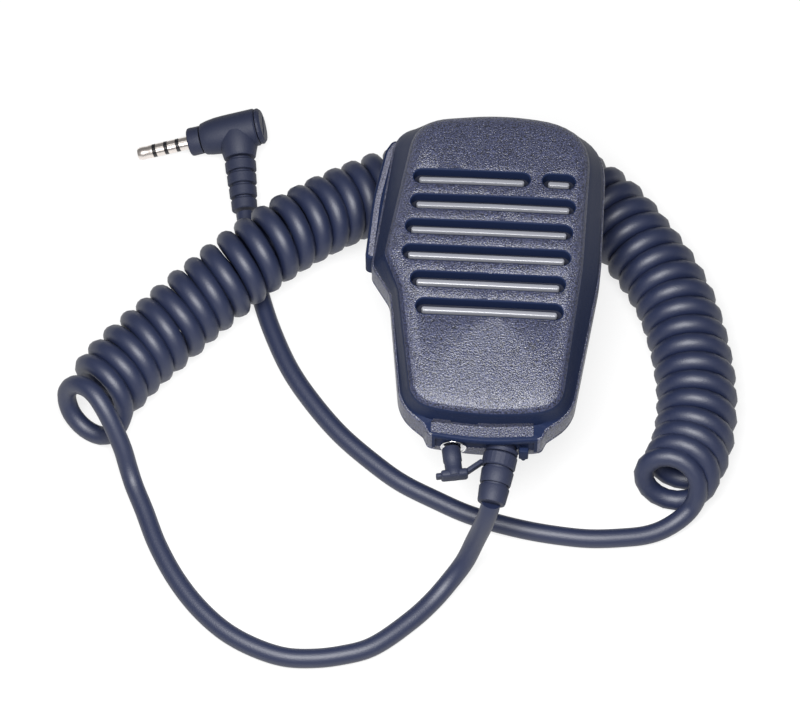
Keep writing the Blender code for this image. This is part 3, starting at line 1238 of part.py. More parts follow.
def main():
    start_scene()
    make_materials()
    shared_guides = [window_guide(), *bay_guides()]
    build_front_shell(shared_guides)
    build_back_shell(shared_guides)
    build_shell_screws()
    build_grille_cloth()
    build_speaker()
    build_capsule()
    build_board()
    build_switch()
    build_talk_bar()
    build_jack()
    build_strain_relief()
    build_tether_ring()
    build_dust_plug()
    build_latch()
    build_clip_base()
    build_swivel_screw()
    build_clip_lever()
    build_clip_pin()
    build_clip_spring()
    build_plug_pin()
    build_plug_collar()
    build_plug_body()
    build_plug_cap()
    build_plug_relief()
    build_cord()
    place_joints()


main()
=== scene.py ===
"""Hand microphone and its curly cord: fine surface, materials, light and camera.

Metres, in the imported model's frame: +Z out of the grille, +Y to the top of the microphone.
"""
import math

import bmesh
import bpy
from mathutils import Matrix, Vector
from mathutils.bvhtree import BVHTree


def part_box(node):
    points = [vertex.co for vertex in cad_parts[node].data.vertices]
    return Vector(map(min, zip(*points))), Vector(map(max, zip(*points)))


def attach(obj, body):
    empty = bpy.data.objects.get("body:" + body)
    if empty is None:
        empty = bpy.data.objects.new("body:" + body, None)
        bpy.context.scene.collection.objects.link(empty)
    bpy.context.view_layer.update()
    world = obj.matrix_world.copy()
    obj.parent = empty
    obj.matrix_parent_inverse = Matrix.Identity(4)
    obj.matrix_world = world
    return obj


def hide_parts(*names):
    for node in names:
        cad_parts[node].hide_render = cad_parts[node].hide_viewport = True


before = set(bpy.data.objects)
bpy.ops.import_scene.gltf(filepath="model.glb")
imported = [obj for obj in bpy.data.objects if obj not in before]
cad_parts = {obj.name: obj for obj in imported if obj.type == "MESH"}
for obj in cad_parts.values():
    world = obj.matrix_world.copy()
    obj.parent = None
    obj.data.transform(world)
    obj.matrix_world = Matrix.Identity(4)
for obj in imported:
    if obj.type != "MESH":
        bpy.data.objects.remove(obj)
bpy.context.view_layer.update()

MM = 0.001
UP = Vector((0, 0, 1))

# Heights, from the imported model
BACK_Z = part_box("back_shell")[0].z
SEAM_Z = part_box("front_shell")[0].z
BODY_DEPTH = 27.8 * MM
FRONT_Z = BACK_Z + BODY_DEPTH

# Clearances
GAP = 0.3 * MM
CUT = 1.0 * MM

# Profile of the shells
RIM_Z = SEAM_Z + 6.5 * MM
RIM_ROUND = 0.5 * MM
SHOULDER_FOOT = 0.8 * MM
PANEL_HEIGHT = 2.4 * MM
CROWN_RADIUS = 350 * MM
CROWN_Y = 4.0 * MM
WALL = 2.0 * MM
FRONT_WALL = 3.2 * MM
EDGE_ROUND = 0.3 * MM       # along the seam

# Outline of the body
TOP_Y = 44.8 * MM
BOTTOM_Y = -46.9 * MM
HALF_WIDTH = 26.9 * MM
HIP_HALF_WIDTH = 0.785 * HALF_WIDTH
HIP_Y = -37.6 * MM
FOOT_HALF_WIDTH = 0.513 * HALF_WIDTH
HIP_ROUND = 1.3 * (HIP_HALF_WIDTH - FOOT_HALF_WIDTH)
TOP_ROUND = 0.595 * HALF_WIDTH
SWEEP = 60 * MM             # radius of the shallow bows
LOW_SHIFT = -0.5 * MM
FOOT_LENGTH = 2.7 * MM
FOOT_BOW = 1.6 * MM
CHEEK_X = -HALF_WIDTH - 3.7 * MM
CHEEK_Y = 1.2 * MM
CHEEK_DROP = 8.0 * MM
BAY_Y = -44.8 * MM
BAY_HALF_WIDTH = FOOT_HALF_WIDTH - 1.8 * MM
BAY_RISE = 5.0 * MM
BAY_DROP = 5.5 * MM
STRIP_X = LOW_SHIFT - 0.7 * MM
STRIP_HALF_WIDTH = 12.4 * MM
STRIP_BOW = 1.0 * MM
STRIP_DEPTH = 1.2 * MM

# Grille
SLOT_RADIUS = 2.0 * MM
SLOT_RIM = 0.45 * MM        # rounding of the slots' edges
SLOT_PITCH = 7.41 * MM
SLOT_TOP_Y = 21.6 * MM
SLOT_ENDS = [(-21.0, 7.7), (-21.3, 19.1), (-22.2, 18.6), (-22.6, 18.3), (-20.2, 17.3),
             (-18.6, 17.0)]
MIC_SLOT_ENDS = (11.0, 18.9)
RIB_RADIUS = 0.65 * MM      # half the width of the bar in each slot
RIB_SHIFT = -0.3 * MM       # towards the slot's lower edge
RIB_DROP = 0.85 * MM        # of its top under the panel
RIB_BORDER = 1.3 * MM       # from the slot's end to the bar's

# Screws and swivel in the back
SCREW_RADIUS = 1.1 * MM
SCREW_HEAD_RADIUS = 2.2 * MM
SCREW_RECESS = 1.9 * MM
SCREW_PLACES = [(13.5, 30.4), (-13.5, 30.4), (12.1, -27.0), (-12.1, -27.0)]
SWIVEL_RADIUS = 1.6 * MM

# Talk bar and its window, along the left side from the cheek's corner
CHEEK_CORNER = 8            # of the body's outline, at the low end of the left side
SIDE_CORNER = 7             # at its high end
BAR_START = 2.2 * MM
BAR_LENGTH = 35.8 * MM
BAR_BOTTOM = -2.7 * MM      # from the seam
BAR_HEIGHT = 8.0 * MM
BAR_PROUD = 2.0 * MM
BAR_BOW = 0.9 * MM
BAR_EDGE = 0.7 * MM         # rounding along its outer edges
BAR_LEAST_ROUND = 0.1 * MM  # of its corners where it is set in
BAR_STRIP = 1.3 * MM        # grained strip inside its upper edge, lightened as painted light
BAR_SUNK = 0.2 * MM         # of the smooth middle inside that strip
BAR_FLANGE = 1.2 * MM
BAR_FLANGE_ENDS = (3.4 * MM, 5.1 * MM)  # from the ends of the bar
BAR_LIP = 0.8 * MM          # of the flange above the bar

# Jack and strain relief in the wall of the bay
JACK_X = -8.0 * MM
JACK_RADIUS = 2.6 * MM
JACK_BODY = (7.4 * MM, 10.5 * MM, 6.4 * MM)
RELIEF_X = 3.9 * MM
RELIEF_NECK_RADIUS = 3.2 * MM
RELIEF_FLANGE_RADIUS = 4.4 * MM
RELIEF_FLANGE = 1.2 * MM
RELIEF_START = Vector((RELIEF_X, BAY_Y, SEAM_Z))
RELIEF_END = Vector((1.75 * MM, -58.5 * MM, SEAM_Z - 2.8 * MM))
RELIEF_SLEEVE_RADIUS = 4.0 * MM
RELIEF_GROOVE_RADIUS = 3.1 * MM
RELIEF_GROOVE_WIDTH = 0.6 * MM
RELIEF_GROOVE_PLACE = 0.66  # of the sleeve's length
RELIEF_HELD = 1.2 * MM      # of the neck, outside the wall
TETHER_PLACE = (1.7 * MM, 5.1 * MM)     # along the strain relief
JACK_BORE_RADIUS = 1.85 * MM
JACK_RIM_RADIUS = 2.95 * MM
JACK_RIM_ROUND = 0.25 * MM
STEM_TOP = Vector((-8.6 * MM, -45.4 * MM, SEAM_Z + 0.2 * MM))
STEM_END = Vector((-7.5 * MM, -51.9 * MM, SEAM_Z))
STEM_RADIUS = 2.3 * MM
SAUCER_RADIUS = 3.3 * MM
SAUCER_DEPTH = 1.5 * MM
SAUCER_HEIGHT = 3.6 * MM
SAUCER_EDGE = 0.6 * MM
STRAP_WIDTH = 1.1 * MM
STRAP_HEIGHT = 2.0 * MM
STRAP_START = 2.3 * MM      # from the stem's axis
TAB_END = 4.5 * MM          # from the stem's axis, on the other side
STRAP_ROOT = Vector((-0.8 * MM, -48.6 * MM, SEAM_Z))
LATCH_X = BAY_HALF_WIDTH - 2.9 * MM
LATCH_SIZE = (2.3 * MM, 1.4 * MM, 4.0 * MM)
LATCH_PEG = 0.8 * MM
LATCH_PEG_RADIUS = 0.6 * MM

# Plug: axis from the tip up to the cap, and down its neck
PLUG_TIP = Vector((-95.4 * MM, 53.2 * MM, 1.85 * MM))
PLUG_AXIS = Vector((0.958, 0.162, 0.236)).normalized()
NECK_AXIS = Vector((0.150, -0.965, -0.219)).normalized()
CONTACT_RADIUS = 1.75 * MM
TIP_LENGTH = 4.2 * MM
TIP_CORE_RADIUS = 0.8 * MM
TIP_CORE_END = 2.3 * MM     # past the pin, in the collar and the elbow
PIN_LENGTH = 14.2 * MM
COLLAR_LENGTH = 3.3 * MM
COLLAR_RADIUS = 3.75 * MM
BARREL_RADIUS = 4.95 * MM
BARREL_LENGTH = 15.1 * MM
NECK_PLACE = 27.4 * MM
NECK_LENGTH = 7.6 * MM
TAIL_RELIEF_LENGTH = 14.2 * MM
TAIL_RELIEF_RADII = (4.1 * MM, 3.4 * MM)
TAIL_RELIEF_RIBS = 4
TAIL_RELIEF_GROOVE = (1.0 * MM, 0.7 * MM)   # depth and width

# Cord
CORD_DIAMETER = 4.8 * MM
COIL_RADIUS = 7.7 * MM      # of the cord's centreline round the coil's axis
COIL_SWELL = 1.08           # the cord is a little thicker where it is coiled
COIL_PITCH = 5.29 * MM
TURN_POINTS = 18
COIL_AXIS_STEP = 0.5 * MM   # between the points of the coil's axis
ROUTE_STEP = 1.2 * MM       # between the points of the lead and the tail
LEAD_ROUTE = [(1.75, -58.3, 28.7), (1.5, -59.0, 27.4), (0.6, -60.3, 23.4), (-1.7, -61.9, 14.8),
              (-4.1, -64.6, 8.4), (-7.6, -68.3, 4.4), (-11.4, -72.8, 2.7),
              (-16.4, -78.2, 2.4), (-25.9, -86.0, 2.4), (-33.4, -88.6, 2.4),
              (-39.9, -89.7, 2.4), (-46.8, -89.7, 2.4), (-54.2, -87.6, 2.4), (-61.6, -83.8, 2.4),
              (-68.6, -77.9, 2.4), (-74.9, -70.3, 2.4), (-80.5, -60.9, 2.4),
              (-84.6, -51.6, 2.6), (-87.7, -45.1, 3.4), (-89.2, -41.6, 5.6),
              (-90.6, -38.4, 9.2), (-92.3, -35.6, 12.3), (-94.0, -33.0, 15.0),
              (-95.8, -30.6, 17.0), (-97.7, -28.3, 18.1), (-100.1, -26.1, 17.9),
              (-102.7, -24.4, 16.3), (-104.7, -23.7, 13.8), (-105.9, -24.0, 11.0),
              (-105.9, -25.1, 8.0), (-104.8, -26.9, 5.3), (-102.5, -28.9, 3.3),
              (-100.0, -30.4, 2.6), (-97.2, -31.4, 2.7), (-94.6, -31.5, 4.1),
              (-92.9, -30.8, 6.2)]
COIL_ROUTE = [(-97.3, -23.2, 10.35), (-94.1, -18.1, 10.35),
              (-88.2, -10.4, 10.35), (-82.6, -4.6, 10.7), (-77.0, 1.6, 11.5), (-71.2, 6.9, 12.6),
              (-65.4, 12.2, 14.0), (-59.6, 17.3, 14.9), (-53.8, 22.4, 14.9), (-47.9, 27.2, 14.1),
              (-42.1, 31.9, 12.8), (-36.1, 36.1, 11.6), (-29.3, 40.3, 10.6), (-17.1, 44.6, 10.35),
              (-3.1, 47.1, 10.35), (10.0, 46.8, 10.35), (20.5, 43.2, 10.35), (29.4, 36.2, 10.35),
              (36.4, 27.1, 10.35), (42.2, 18.7, 10.35), (46.7, 9.8, 10.35), (50.6, -4.1, 10.35),
              (52.3, -17.4, 10.35), (51.5, -28.9, 10.35), (48.8, -37.1, 10.35),
              (45.3, -42.4, 9.9)]
COIL_START_AXIS = Vector((0.60, 0.79, -0.10))
COIL_START_TURNS = 1.5
COIL_END_AXIS = Vector((-0.117, -0.82, 0.559))
COIL_END_TURNS = 3.0
COIL_START_ANGLE = 0.0
COIL_END_ANGLE = 180.0
TAIL_ROUTE = [(51.9, -45.2, 6.4), (50.1, -47.0, 4.7), (47.4, -48.9, 3.4), (44.0, -50.8, 2.7),
              (40.2, -52.1, 2.4), (34.2, -53.1, 2.4), (26.8, -53.7, 2.4), (19.3, -53.3, 2.4),
              (9.3, -51.9, 2.4), (-3.3, -48.7, 2.4), (-12.2, -44.9, 2.4), (-21.2, -40.4, 2.4),
              (-29.1, -34.6, 2.4), (-37.1, -27.6, 2.4), (-44.7, -18.8, 2.4), (-50.9, -9.8, 2.4),
              (-56.3, 1.4, 2.4), (-59.6, 10.4, 2.4), (-62.6, 20.7, 2.4), (-64.6, 29.7, 2.8),
              (-65.7, 35.4, 3.4)]

# Camera
TARGET = Vector((-23.15 * MM, -3.3 * MM, 0))
ELEVATION = math.radians(61)
AZIMUTH = math.radians(3)
DISTANCE = 0.9
LENS = 157.95
SENSOR = 36.0

# Light and floor
BOX_PLACE = (-0.04, -0.18, 0.42)
BOX_AIM = (-0.02, -0.03, 0)
BOX_SIZE = (0.3, 0.22)
BOX_POWER = 4.3
ROOM_STRENGTH = 0.18
FLOOR_REACH = 3.0           # from the middle to each side
FLOOR_GLOW = 0.75           # share of plain white in the floor as the camera sees it

# Fineness
STEPS = 10                  # along each rounded corner
SLOT_STEPS = 12             # round each end of a slot
TURNED_STEPS = 48           # round a turned piece
ROD_STEPS = 32              # round a rod or a hole
SHARP_ANGLE = 35            # degrees at which an edge starts to look sharp
SLOPE_STEPS = 4             # bands between two knots of the front's slope
SHADE_BANDS = 8              # of the slope, from the rim up, in smooth plastic darkened as painted shade
EDGE_BANDS = 4              # of the slope, between the shoulder and the panel, in grain darkened as painted shade


# ---------------------------------------------------------------- materials

def principled(name, colour, roughness, metallic=0.0, specular=0.5):
    material = bpy.data.materials.new(name)
    material.use_nodes = True
    shader = material.node_tree.nodes["Principled BSDF"]
    shader.inputs["Base Color"].default_value = (*colour, 1.0)
    shader.inputs["Roughness"].default_value = roughness
    shader.inputs["Metallic"].default_value = metallic
    shader.inputs["Specular IOR Level"].default_value = specular
    return material


def add_grain(material, size, depth, grain_shading=0.0):
    """Moulded grain: noise as a bump, with painted shade in its hollows and painted light on its
    tops.
    """
    nodes, links = material.node_tree.nodes, material.node_tree.links
    shader = nodes["Principled BSDF"]
    coordinates = nodes.new("ShaderNodeTexCoord")
    noise = nodes.new("ShaderNodeTexNoise")
    noise.inputs["Scale"].default_value = 1 / size
    noise.inputs["Detail"].default_value = 2.0
    bump = nodes.new("ShaderNodeBump")
    bump.inputs["Distance"].default_value = depth
    links.new(coordinates.outputs["Object"], noise.inputs["Vector"])
    links.new(noise.outputs["Fac"], bump.inputs["Height"])
    links.new(bump.outputs["Normal"], shader.inputs["Normal"])
    # The base colour follows the same noise: painted shade in the hollows, painted light on the
    # tops.
    if grain_shading:
        red, green, blue, _ = shader.inputs["Base Color"].default_value
        ramp = nodes.new("ShaderNodeValToRGB")
        for stop, place, share in zip(ramp.color_ramp.elements, (0.35, 0.65),
                                      (1 - grain_shading, 1 + grain_shading)):
            stop.position = place
            stop.color = (red * share, green * share, blue * share, 1.0)
        links.new(noise.outputs["Fac"], ramp.inputs["Fac"])
        links.new(ramp.outputs["Color"], shader.inputs["Base Color"])
    return material


def make_materials():
    size = 0.38 * MM
    grain = principled("grained_plastic", (0.027, 0.031, 0.064), 0.34, specular=1.0)
    # Darker copy of the grained plastic for the rounded edge round the panel: painted shade that
    # fades the panel into the shoulder.
    edge = principled("panel_edge_painted_shade", (0.018, 0.022, 0.050), 0.40, specular=0.4)
    # Lighter copy of the grained plastic for the talk bar's top strip: painted light, so that the
    # strip shows as brightly lit as the panel.
    strip = principled("strip_plastic_painted_light", (0.085, 0.088, 0.125), 0.35, specular=1.0)
    # Smooth plastic with its base darkened: painted shade of the steep shoulders and of the lip
    # over the bay.
    smooth = principled("smooth_plastic_painted_shade", (0.009, 0.015, 0.042), 0.45, specular=0.06)
    rubber = principled("satin_rubber", (0.008, 0.013, 0.040), 0.50, specular=0.65)
    sleeve = principled("matt_rubber", (0.012, 0.016, 0.038), 0.6, specular=0.4)
    return {
        "grain": add_grain(grain, size, 0.30 * MM, 0.8),
        "edge": add_grain(edge, size, 0.25 * MM, 0.8),
        "strip": add_grain(strip, size, 0.25 * MM, 0.6),
        "smooth": add_grain(smooth, 0.5 * MM, 0.05 * MM),
        "rubber": add_grain(rubber, 0.4 * MM, 0.04 * MM),
        "sleeve": add_grain(sleeve, 0.4 * MM, 0.06 * MM),
        # Light grey bars in the slots: painted sheen, the base standing in for the light they
        # reflect.
        "rib": principled("rib_plastic_painted_sheen", (0.18, 0.185, 0.21), 0.28, specular=0.8),
        "cloth": principled("grille_cloth", (0.006, 0.008, 0.020), 0.9),
        "clip": principled("clip_plastic", (0.012, 0.012, 0.02), 0.4),
        "nickel": principled("nickel", (0.80, 0.74, 0.70), 0.34, 1.0),
        "chrome": principled("chrome", (0.75, 0.75, 0.76), 0.15, 1.0),
        "steel": principled("steel", (0.5, 0.5, 0.52), 0.3, 1.0),
        "magnet": principled("magnet_steel", (0.3, 0.3, 0.32), 0.4, 1.0),
        "cone": principled("cone_paper", (0.08, 0.07, 0.06), 0.85),
        "board": principled("board_laminate", (0.02, 0.14, 0.06), 0.5),
        "insulator": principled("insulator", (0.006, 0.006, 0.008), 0.35),
    }


NODE_MATERIALS = {
    "clip": ["clip_base", "clip_lever"],
    "nickel": ["plug_ring_1", "plug_ring_2", "plug_sleeve"],
    "steel": ["clip_pin", "clip_spring", "swivel_screw", "shell_screw_1", "shell_screw_2",
              "shell_screw_3", "shell_screw_4", "mic_capsule"],
    "magnet": ["speaker_frame", "speaker_magnet"],
    "cone": ["speaker_cone"],
    "board": ["circuit_board"],
    "insulator": ["jack_body", "switch_body", "switch_stem", "plug_insulator_1",
                  "plug_insulator_2", "plug_insulator_3"],
    "sleeve": ["mic_boot", "tether_ring", "plug_cap"],
    "cloth": ["grille_cloth"],
}


def finish_nodes(materials):
    """Give the CAD nodes that stay visible their materials."""
    for key, names in NODE_MATERIALS.items():
        for name in names:
            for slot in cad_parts[name].material_slots:
                slot.material = materials[key]


# ---------------------------------------------------------------- curves

def between(a, b, c, d, share):
    """Point a share of the way from b to c on a centripetal Catmull-Rom curve."""
    tb = math.sqrt((b - a).length)
    tc = tb + math.sqrt((c - b).length)
    td = tc + math.sqrt((d - c).length)
    t = tb + (tc - tb) * share
    ab = a.lerp(b, t / tb)
    bc = b.lerp(c, (t - tb) / (tc - tb))
    cd = c.lerp(d, (t - tc) / (td - tc))
    return ab.lerp(bc, t / tc).lerp(bc.lerp(cd, (t - tb) / (td - tb)), share)


def smooth_path(knots, step):
    """Points about a step apart on a smooth curve through the knots."""
    ends = [knots[0] * 2 - knots[1], *knots, knots[-1] * 2 - knots[-2]]
    points = []
    for a, b, c, d in zip(ends, ends[1:], ends[2:], ends[3:]):
        count = max(1, round((c - b).length / step))
        points += [between(a, b, c, d, i / count) for i in range(count)]
    points.append(knots[-1])
    return points


def millimetres(route):
    return [Vector(point) * MM for point in route]


def lengths_along(points):
    lengths = [0.0]
    for a, b in zip(points, points[1:]):
        lengths.append(lengths[-1] + (b - a).length)
    return lengths


def coil_points():
    """Left-handed helix round the coil's axis, with the turns at both ends leaning over."""
    axis = smooth_path(millimetres(COIL_ROUTE), COIL_AXIS_STEP)
    lengths = lengths_along(axis)
    total = lengths[-1]
    spare = (COIL_END_ANGLE - COIL_START_ANGLE) / 360
    turns = round(total / COIL_PITCH - spare) + spare
    start_lean = COIL_START_TURNS * COIL_PITCH
    end_lean = COIL_END_TURNS * COIL_PITCH
    points = []
    place = 0
    count = round(turns * TURN_POINTS)
    for i in range(count + 1):
        share = i / count
        along = total * share
        while place < len(axis) - 2 and lengths[place + 1] < along:
            place += 1
        span = lengths[place + 1] - lengths[place]
        centre = axis[place].lerp(axis[place + 1], min(1, (along - lengths[place]) / span))
        tangent = (axis[min(place + 4, len(axis) - 1)] - axis[max(place - 4, 0)]).normalized()
        tangent = tangent.lerp(COIL_START_AXIS, max(0.0, 1 - along / start_lean))
        tangent = tangent.lerp(COIL_END_AXIS, max(0.0, 1 - (total - along) / end_lean))
        tangent.normalize()
        side = tangent.cross(UP).normalized()
        rise = side.cross(tangent)
        angle = math.radians(COIL_START_ANGLE) + 2 * math.pi * turns * share
        points.append(centre + COIL_RADIUS * (math.cos(angle) * side + math.sin(angle) * rise))
    return points


def cord_points():
    """Whole centreline, lead, coil and tail, with the share of the radius at each point."""
    coil = coil_points()
    lead = millimetres(LEAD_ROUTE)
    tail = millimetres(TAIL_ROUTE)
    start = smooth_path([*lead, *coil[:3]], ROUTE_STEP)
    end = smooth_path([*coil[-3:], *tail], ROUTE_STEP)
    lead, tail = start[:start.index(coil[0])], end[end.index(coil[-1]) + 1:]
    swell = [COIL_SWELL] * len(coil)
    for i in range(TURN_POINTS):
        swell[i] = swell[-1 - i] = 1 + (COIL_SWELL - 1) * i / TURN_POINTS
    return [*lead, *coil, *tail], [1.0] * len(lead) + swell + [1.0] * len(tail)


def tube(name, points, radius, material, swell):
    """Round curve through the points, with its radius times swell at each."""
    curve = bpy.data.curves.new(name, "CURVE")
    curve.dimensions = "3D"
    curve.bevel_depth = radius
    curve.bevel_resolution = 5
    curve.use_fill_caps = True
    spline = curve.splines.new("POLY")
    spline.points.add(len(points) - 1)
    for point, place, share in zip(spline.points, points, swell):
        point.co = (*place, 1.0)
        point.radius = share
    spline.use_smooth = True
    curve.materials.append(material)
    obj = bpy.data.objects.new(name, curve)
    bpy.context.scene.collection.objects.link(obj)
    return obj


def build_cord(materials, plug):
    points, swell = cord_points()
    cord = tube("cord", points, CORD_DIAMETER / 2, materials["rubber"], swell)
    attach(cord, "root")
    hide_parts("cord_lead", "curly_cord", "cord_tail")
    plug += [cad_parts[name] for name in (
        "plug_cap", "plug_insulator_1", "plug_insulator_2", "plug_insulator_3", "plug_ring_1",
        "plug_ring_2", "plug_sleeve")]


# ---------------------------------------------------------------- outlines

def directions(corners, i):
    """Unit directions into and out of corner i, and the turn between them."""
    x, y, _ = corners[i]
    before = Vector((x - corners[i - 1][0], y - corners[i - 1][1])).normalized()
    ahead = corners[(i + 1) % len(corners)]
    after = Vector((ahead[0] - x, ahead[1] - y)).normalized()
    return before, after, math.atan2(before.x * after.y - before.y * after.x, before.dot(after))


def rounded(corners, steps=STEPS):
    """Points of a closed outline whose corners are (x, y, radius)."""
    points = []
    for i, (x, y, radius) in enumerate(corners):
        before, after, turn = directions(corners, i)
        corner = Vector((x, y))
        reach = radius * math.tan(abs(turn) / 2)
        for step in range(steps + 1):
            t = step / steps
            points.append(corner + after * reach * t * t - before * reach * (1 - t) ** 2)
    return points


def inset(corners, distance, least=0.5 * MM):
    """Corners of the same outline, counter-clockwise, with every side moved in by distance."""
    moved = []
    for i, (x, y, radius) in enumerate(corners):
        before, after, turn = directions(corners, i)
        inward = Vector((-before.y - after.y, before.x + after.x))
        shift = inward * distance / (1 + before.dot(after))
        change = -distance if turn > 0 else distance
        moved.append((x + shift.x, y + shift.y, max(radius + change, least)))
    return moved


def mix(first, second, share):
    return [a.lerp(b, share) for a, b in zip(first, second)]


def level(points, z):
    return [Vector((p.x, p.y, z)) for p in points]


def crowned(points, z):
    """Ring at height z, lowered with the crown the more the nearer it is to the front."""
    share = max(0.0, (z - RIM_Z) / (FRONT_Z - RIM_Z))
    return [Vector((p.x, p.y, z - (p.y - CROWN_Y) ** 2 / (2 * CROWN_RADIUS) * share))
            for p in points]


def spine(points, share=0.92):
    """The ring shrunk most of the way to the line x = 0."""
    return [Vector((p.x * (1 - share), p.y * 0.5)) for p in points]


def both_sides(low):
    """Corners of the lower end on the right and on the left, a little left of the middle."""
    right = [(x + LOW_SHIFT, y, reach) for x, y, reach in low]
    left = [(-x + LOW_SHIFT, y, reach) for x, y, reach in reversed(low)]
    return right, left


def body_corners(foot_y=BOTTOM_Y + FOOT_BOW, bow=FOOT_BOW):
    """Widest outline of the body, at the seam and the rim."""
    low, low_left = both_sides([
        (FOOT_HALF_WIDTH, foot_y, 1.8 * MM),
        (FOOT_HALF_WIDTH + 1.2 * MM, BOTTOM_Y + FOOT_BOW + FOOT_LENGTH, 1.2 * MM),
        (HIP_HALF_WIDTH, HIP_Y, 1.25 * HIP_ROUND)])
    return [(0, foot_y - bow, SWEEP), *low,
            (HALF_WIDTH - 0.5 * MM, 2.0 * MM, SWEEP),
            (HALF_WIDTH, TOP_Y - 2.2 * MM, TOP_ROUND),
            (0, TOP_Y, SWEEP),
            (CHEEK_X + 4.3 * MM, TOP_Y - 3.2 * MM, 8.5 * MM),
            (CHEEK_X, CHEEK_Y, 4.0 * MM),
            (CHEEK_X + 5.1 * MM, CHEEK_Y - CHEEK_DROP, 6.0 * MM),
            *low_left]


def shoulder_corners():
    """Foot of the shoulder, on the rim: close to the side, well in from the feet."""
    low, low_left = both_sides([
        (FOOT_HALF_WIDTH - 5.8 * MM, BOTTOM_Y + 5.0 * MM, 2.0 * MM),
        (FOOT_HALF_WIDTH - 1.4 * MM, BOTTOM_Y + 5.2 * MM, 3.0 * MM),
        (HIP_HALF_WIDTH - 1.2 * MM, HIP_Y - 1.6 * MM, HIP_ROUND)])
    return [(0, BOTTOM_Y + 4.4 * MM, SWEEP), *low,
            (HALF_WIDTH - 1.1 * MM, 2.0 * MM, SWEEP),
            (HALF_WIDTH - 0.6 * MM, TOP_Y - 2.7 * MM, TOP_ROUND - 0.5 * MM),
            (0, TOP_Y - 0.6 * MM, SWEEP),
            (CHEEK_X + 4.8 * MM, TOP_Y - 3.8 * MM, 8.5 * MM),
            (CHEEK_X + 0.6 * MM, CHEEK_Y - 0.2 * MM, 4.0 * MM),
            (CHEEK_X + 5.6 * MM, CHEEK_Y - CHEEK_DROP - 0.6 * MM, 6.5 * MM),
            *low_left]


def panel_corners():
    """Edge of the grained panel, at the top of the shoulder."""
    low, low_left = both_sides([
        (FOOT_HALF_WIDTH - 5.8 * MM, BOTTOM_Y + 5.0 * MM, 2.0 * MM),
        (FOOT_HALF_WIDTH - 1.8 * MM, BOTTOM_Y + 5.6 * MM, 2.0 * MM),
        (HIP_HALF_WIDTH - 3.0 * MM, HIP_Y - 2.4 * MM, 0.75 * HIP_ROUND)])
    return [(0, BOTTOM_Y + 4.5 * MM, SWEEP), *low,
            (HALF_WIDTH - 5.3 * MM, -2.0 * MM, SWEEP),
            (HALF_WIDTH - 3.9 * MM, TOP_Y - 5.0 * MM, TOP_ROUND - 1.0 * MM),
            (0, TOP_Y - 2.3 * MM, SWEEP),
            (CHEEK_X + 9.3 * MM, TOP_Y - 5.2 * MM, 11.0 * MM),
            (CHEEK_X + 3.4 * MM, CHEEK_Y - 1.6 * MM, 5.0 * MM),
            (CHEEK_X + 7.4 * MM, CHEEK_Y - CHEEK_DROP - 3.2 * MM, 10.0 * MM),
            *low_left]


def back_corners():
    """Flat of the back, inside its rounded edge."""
    low, low_left = both_sides([
        (FOOT_HALF_WIDTH - 7.8 * MM, BOTTOM_Y + 9.6 * MM, 2.0 * MM),
        (FOOT_HALF_WIDTH - 3.8 * MM, BOTTOM_Y + 9.9 * MM, 2.0 * MM),
        (HIP_HALF_WIDTH - 6.6 * MM, HIP_Y + 1.6 * MM, 0.63 * HIP_ROUND)])
    return [(0, BOTTOM_Y + 9.4 * MM, SWEEP), *low,
            (HALF_WIDTH - 8.7 * MM, 2.0 * MM, SWEEP),
            (HALF_WIDTH - 8.1 * MM, TOP_Y - 8.4 * MM, TOP_ROUND / 2),
            (0, TOP_Y - 7.6 * MM, SWEEP),
            (CHEEK_X + 12.2 * MM, TOP_Y - 8.7 * MM, 8.0 * MM),
            (CHEEK_X + 9.8 * MM, CHEEK_Y - 1.2 * MM, 5.0 * MM),
            (CHEEK_X + 12.4 * MM, CHEEK_Y - CHEEK_DROP - 1.2 * MM, 8.0 * MM),
            *low_left]


# ---------------------------------------------------------------- solids

def add_mesh(name, bm, materials):
    """Object of a bmesh, smooth where its faces meet at less than the sharp angle."""
    bmesh.ops.recalc_face_normals(bm, faces=bm.faces)
    mesh = bpy.data.meshes.new(name)
    bm.to_mesh(mesh)
    bm.free()
    for material in materials:
        mesh.materials.append(material)
    obj = bpy.data.objects.new(name, mesh)
    bpy.context.scene.collection.objects.link(obj)
    smooth_by_angle(obj)
    return obj


def smooth_by_angle(obj):
    obj.data.shade_smooth()
    obj.data.set_sharp_from_angle(angle=math.radians(SHARP_ANGLE))


def loft(rings, bm=None, smooth_bands=range(0)):
    """Closed bmesh through rings of equally many points, from the lowest to the highest.

    Where bands are named as smooth, the others get the second material.
    """
    bm = bm or bmesh.new()
    rows = [[bm.verts.new(point) for point in ring] for ring in rings]
    count = len(rows[0])
    for number, (low, high) in enumerate(zip(rows, rows[1:])):
        for i in range(count):
            j = (i + 1) % count
            face = bm.faces.new((low[i], low[j], high[j], high[i]))
            face.material_index = int(len(smooth_bands) > 0 and number not in smooth_bands)
    caps = [bm.faces.new(list(reversed(rows[0]))), bm.faces.new(rows[-1])]
    caps[1].material_index = int(len(smooth_bands) > 0)
    bmesh.ops.triangulate(bm, faces=caps)
    return bm


def block(size, centre):
    bm = bmesh.new()
    bmesh.ops.create_cube(bm, size=1.0)
    bmesh.ops.scale(bm, vec=size, verts=bm.verts)
    bmesh.ops.translate(bm, vec=centre, verts=bm.verts)
    return bm


def rods(ends, radius):
    """Cylinders between pairs of points."""
    bm = bmesh.new()
    for start, end in ends:
        axis = end - start
        turn = UP.rotation_difference(axis).to_matrix().to_4x4()
        place = Matrix.Translation((start + end) / 2) @ turn
        bmesh.ops.create_cone(bm, cap_ends=True, segments=ROD_STEPS, radius1=radius,
                              radius2=radius, depth=axis.length, matrix=place)
    return bm


